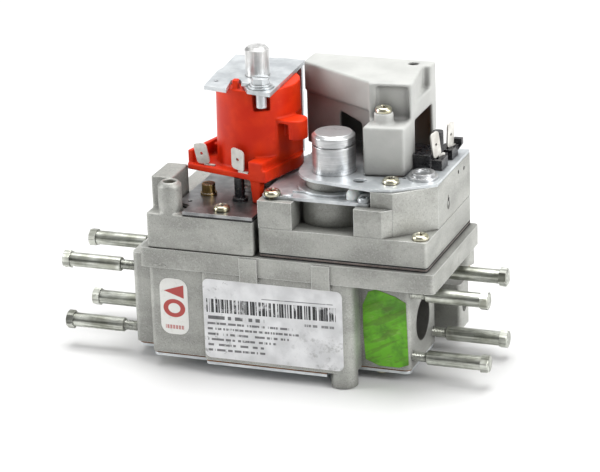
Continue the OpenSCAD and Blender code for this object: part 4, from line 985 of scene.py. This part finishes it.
# foot in millimetres, turn and lean in degrees, width and height in millimetres, slant
COIL_BLADES = (((4.4, 7.2, 0.6), -8, -13, 6.9, 10.2, -0.1), ((24.3, 1.2, 1.0), -15, 0, 7.1, 10.4, -0.2))
SERVO_BLADES = (((-0.2, 3.2, 2.5), 72, -11, 6.3, 12.6, 0), ((1.0, 19.7, 2.0), 78, 5, 6.0, 12.2, 0))

cap_low, cap_high = corners_of("regulator_cap")
cap_top = Vector(((cap_low.x + cap_high.x) / 2, (cap_low.y + cap_high.y) / 2, cap_high.z))
label_low, label_high = corners_of("rating_label")
sticker_low, sticker_high = corners_of("sticker")
tape_low, tape_high = corners_of("seal_tape")

finishes = {
    "cast_zinc": cast_zinc(),
    "zinc_steel": zinc_steel(),
    "dark_steel": dark_steel(),
    "yellow_zinc": yellow_zinc(),
    "brass": brass(),
    "nickel": nickel(cap_top),
    "stainless": stainless(),
    "tin": tin(),
    "orange_plastic": orange_plastic(),
    "grey_plastic": grey_plastic(),
    "black_plastic": black_plastic(),
    "white_nylon": white_nylon(),
    "black_rubber": rubber("black_rubber", (0.010, 0.010, 0.010), (0.03, 0.03, 0.03), 0.6),
    "brown_gasket": rubber("brown_gasket", (0.10, 0.045, 0.018), (0.22, 0.105, 0.04), 0.8),
    "copper": copper(),
    "foil": foil(Vector((label_low.x, 0, label_high.z))),
    "paper": paper(sticker_low, sticker_high),
    "green_tape": green_tape(),
}

for part in frame["record"]["subparts"]:
    shown = frame["nodes"][part["node"]]
    shown.data.materials.clear()
    shown.data.materials.append(finishes[part["material_slot"]].material)

regulator_high = corners_of("regulator_casting")[1]
plate_low = corners_of("regulator_upper_plate")[0]
pit = Vector((regulator_high.x, regulator_high.y, plate_low.z)) + PIT_PLACE
port_r = mounts["inlet_port"]["dims"]["r_mm"]
frame["nodes"]["valve_body"].data.materials[0] = cast_zinc("bored_zinc", bore=port_r).material
frame["nodes"]["regulator_casting"].data.materials[0] = cast_zinc("pitted_zinc", pit).material
frame["nodes"]["carrier_plate"].data.materials[0] = brown_steel().material

for node, width in SOFT_EDGES.items():
    soften(frame["nodes"][node], width)
for node, (grain, rounds) in MELTED.items():
    melt(frame["nodes"][node], grain, rounds)

bright_bolts = bolt_zinc()
flange_bolts("inlet_bolts", "inlet_bolts_pattern", bright_bolts)
flange_bolts("outlet_bolts", "outlet_bolts_pattern", bright_bolts)
pan_screws("solenoid_screws", finishes["yellow_zinc"])
pan_screws("regulator_screws", finishes["yellow_zinc"])
pan_screws("cover_screw", finishes["yellow_zinc"])
pan_screws("silver_screw", finishes["zinc_steel"])
pan_screws("bottom_screws", finishes["yellow_zinc"], upside_down=True)

label_edge = rounded_outline(label_low, label_high, 3 * MM)
stuck_sheet("rating_label_foil", "rating_label", finishes["foil"], label_edge, 12 * MM, 0.3 * MM)
sticker_edge = rounded_outline(sticker_low, sticker_high, 5 * MM)
stuck_sheet("sticker_paper", "sticker", finishes["paper"], sticker_edge, 9 * MM, 0.1 * MM)
tape_edge = cut_outline(tape_low, tape_high, TAPE_CUT)
stuck_sheet("seal_tape_film", "seal_tape", finishes["green_tape"], tape_edge, 5 * MM, 0.7 * MM,
            bow=0.3)

casting_run(finishes["cast_zinc"])
push_on_blades("coil_tab_blades", "coil_tabs", finishes["tin"], COIL_BLADES)
push_on_blades("servo_tab_blades", "servo_tabs", finishes["tin"], SERVO_BLADES)

wire = finishes["stainless"]
short_spring("main_spring", wire, "main_lift")
short_spring("shutoff_spring", wire, "shutoff_lift")
short_spring("servo_spring", wire, "servo_lift")
short_spring("governor_spring", wire, "governor_lift", "lower_wire", (0, 0.3))
short_spring("governor_spring", wire, "seat_travel", "upper_wire", (0.3, 1))


# ---- stage ----

# camera, from the label side and to its right
CAMERA_TURN = math.radians(20.62)
CAMERA_RISE = math.radians(20.17)
CAMERA_ROLL = math.radians(-1.93)
CAMERA_AWAY = 1.4
CAMERA_AIM = Vector((70.5, 0, 3)) * MM
CAMERA_OVER, CAMERA_UP = 8.2008 * MM, 30.3626 * MM  # sets the valve a little left of and below the middle
SENSOR_WIDTH = 36
LENS = 172.08

FLOOR_SIZE = 3
SOLE_DEPTH = 0.2 * MM  # points this near to the body's lowest are on its foot
SCREW_MIDDLE = Vector((4, 4, 0)) * MM  # from the low corner of a bottom screw to the lowest point of its head

# place, size and power of each lamp
LAMPS = {
    "key": ((1.2, -0.35, 0.75), (0.5, 0.6), 10.5),
    "top": ((0.05, 0.15, 1.15), (0.9, 0.7), 15),
    "fill": ((-1.25, -0.5, 0.4), (0.5, 0.6), 11.5),
    "side": ((1.2, 0.0, 0.15), (0.4, 0.3), 3),
}


def rest_plane():
    """Matrix of the plane that the foot and the two rear screw heads stand on."""
    lowest = corners_of("valve_body")[0].z
    points = [vert.co for vert in frame["nodes"]["valve_body"].data.vertices]
    soles = [point for point in points if point.z < lowest + SOLE_DEPTH]
    base = sum(soles, Vector()) / len(soles)
    heads = [low + SCREW_MIDDLE for low, _ in islands("bottom_screws")]
    rear = sorted(heads, key=lambda spot: -spot.y)[:3]
    left = min(rear, key=lambda spot: spot.x)
    right = max(rear, key=lambda spot: spot.x)
    up = (right - base).cross(left - base).normalized()
    up = up if up.z > 0 else -up
    return Matrix.Translation(base) @ up.to_track_quat("Z", "Y").to_matrix().to_4x4()


def floor():
    """A pale matt floor under the valve as it stands on its foot."""
    mesh = bmesh.new()
    bmesh.ops.create_grid(mesh, x_segments=2, y_segments=2, size=FLOOR_SIZE)
    mesh.transform(rest_plane())
    data = bpy.data.meshes.new("floor")
    mesh.to_mesh(data)
    mesh.free()
    made = link("floor", data)
    f = Finish("floor", roughness=0.6)
    f.put(f.shader, "Specular IOR Level", 0.2)
    cloud = f.clouds(60, detail=2)
    f.colour(f.mix(cloud, (0.68, 0.68, 0.68), (0.695, 0.695, 0.69)))
    made.data.materials.append(f.material)


def world():
    """White to the camera; to the valve a studio that is dark low in front and bright overhead and behind."""
    sky = bpy.data.worlds.new("studio")
    bpy.context.scene.world = sky
    sky.use_nodes = True
    s = Shades(sky.node_tree)
    rays = s.node("LightPath").socket.node.outputs
    seen = s.sum("MAXIMUM", Value(s, rays["Is Camera Ray"]), Value(s, rays["Is Transmission Ray"]))
    right, back, height = s.apart(s.node("TexCoord", out="Generated"))
    overhead = height.fade(0.3, 0.85)
    behind = back.fade(0.35, 0.8) * height.fade(0.04, 0.3)
    low_down = 0.78 * behind + 0.14 * right.fade(0.45, 0.95)
    level = 0.06 + 0.55 * overhead + low_down * (1 - overhead)
    glow = s.nodes["Background"]
    s.put(glow, "Color", (1.0, 1.0, 1.0))
    s.put(glow, "Strength", s.sum("MAXIMUM", seen, level))


def lamp(name, place, size, power, aim):
    """A soft box that looks at its aim."""
    data = bpy.data.lights.new(name, "AREA")
    data.shape = "RECTANGLE"
    data.size, data.size_y = size
    data.energy = power
    made = link(name, data)
    made.location = place
    made.rotation_euler = (Vector(place) - aim).to_track_quat("Z", "Y").to_euler()


def camera():
    """Stands to the right of the label side and looks down at it, as a seller's close view does."""
    flat = math.cos(CAMERA_RISE)
    back = Vector((math.sin(CAMERA_TURN) * flat, -math.cos(CAMERA_TURN) * flat, math.sin(CAMERA_RISE)))
    right = Vector((math.cos(CAMERA_TURN), math.sin(CAMERA_TURN), 0))
    up = back.cross(right)
    side = math.cos(CAMERA_ROLL) * right + math.sin(CAMERA_ROLL) * up
    top = -math.sin(CAMERA_ROLL) * right + math.cos(CAMERA_ROLL) * up
    place = CAMERA_AIM + back * CAMERA_AWAY + side * CAMERA_OVER + top * CAMERA_UP
    data = bpy.data.cameras.new("camera")
    data.sensor_width = SENSOR_WIDTH
    data.lens = LENS
    data.clip_start = 0.05
    made = link("camera", data)
    made.matrix_world = Matrix.Translation(place) @ Matrix((side, top, back)).transposed().to_4x4()
    bpy.context.scene.camera = made


middle = (Vector(cad_corners[0]) + Vector(cad_corners[1])) / 2
floor()
world()
for name, (place, size, power) in LAMPS.items():
    lamp(name, place, size, power, middle)
camera()
bpy.context.scene.view_settings.view_transform = "Standard"
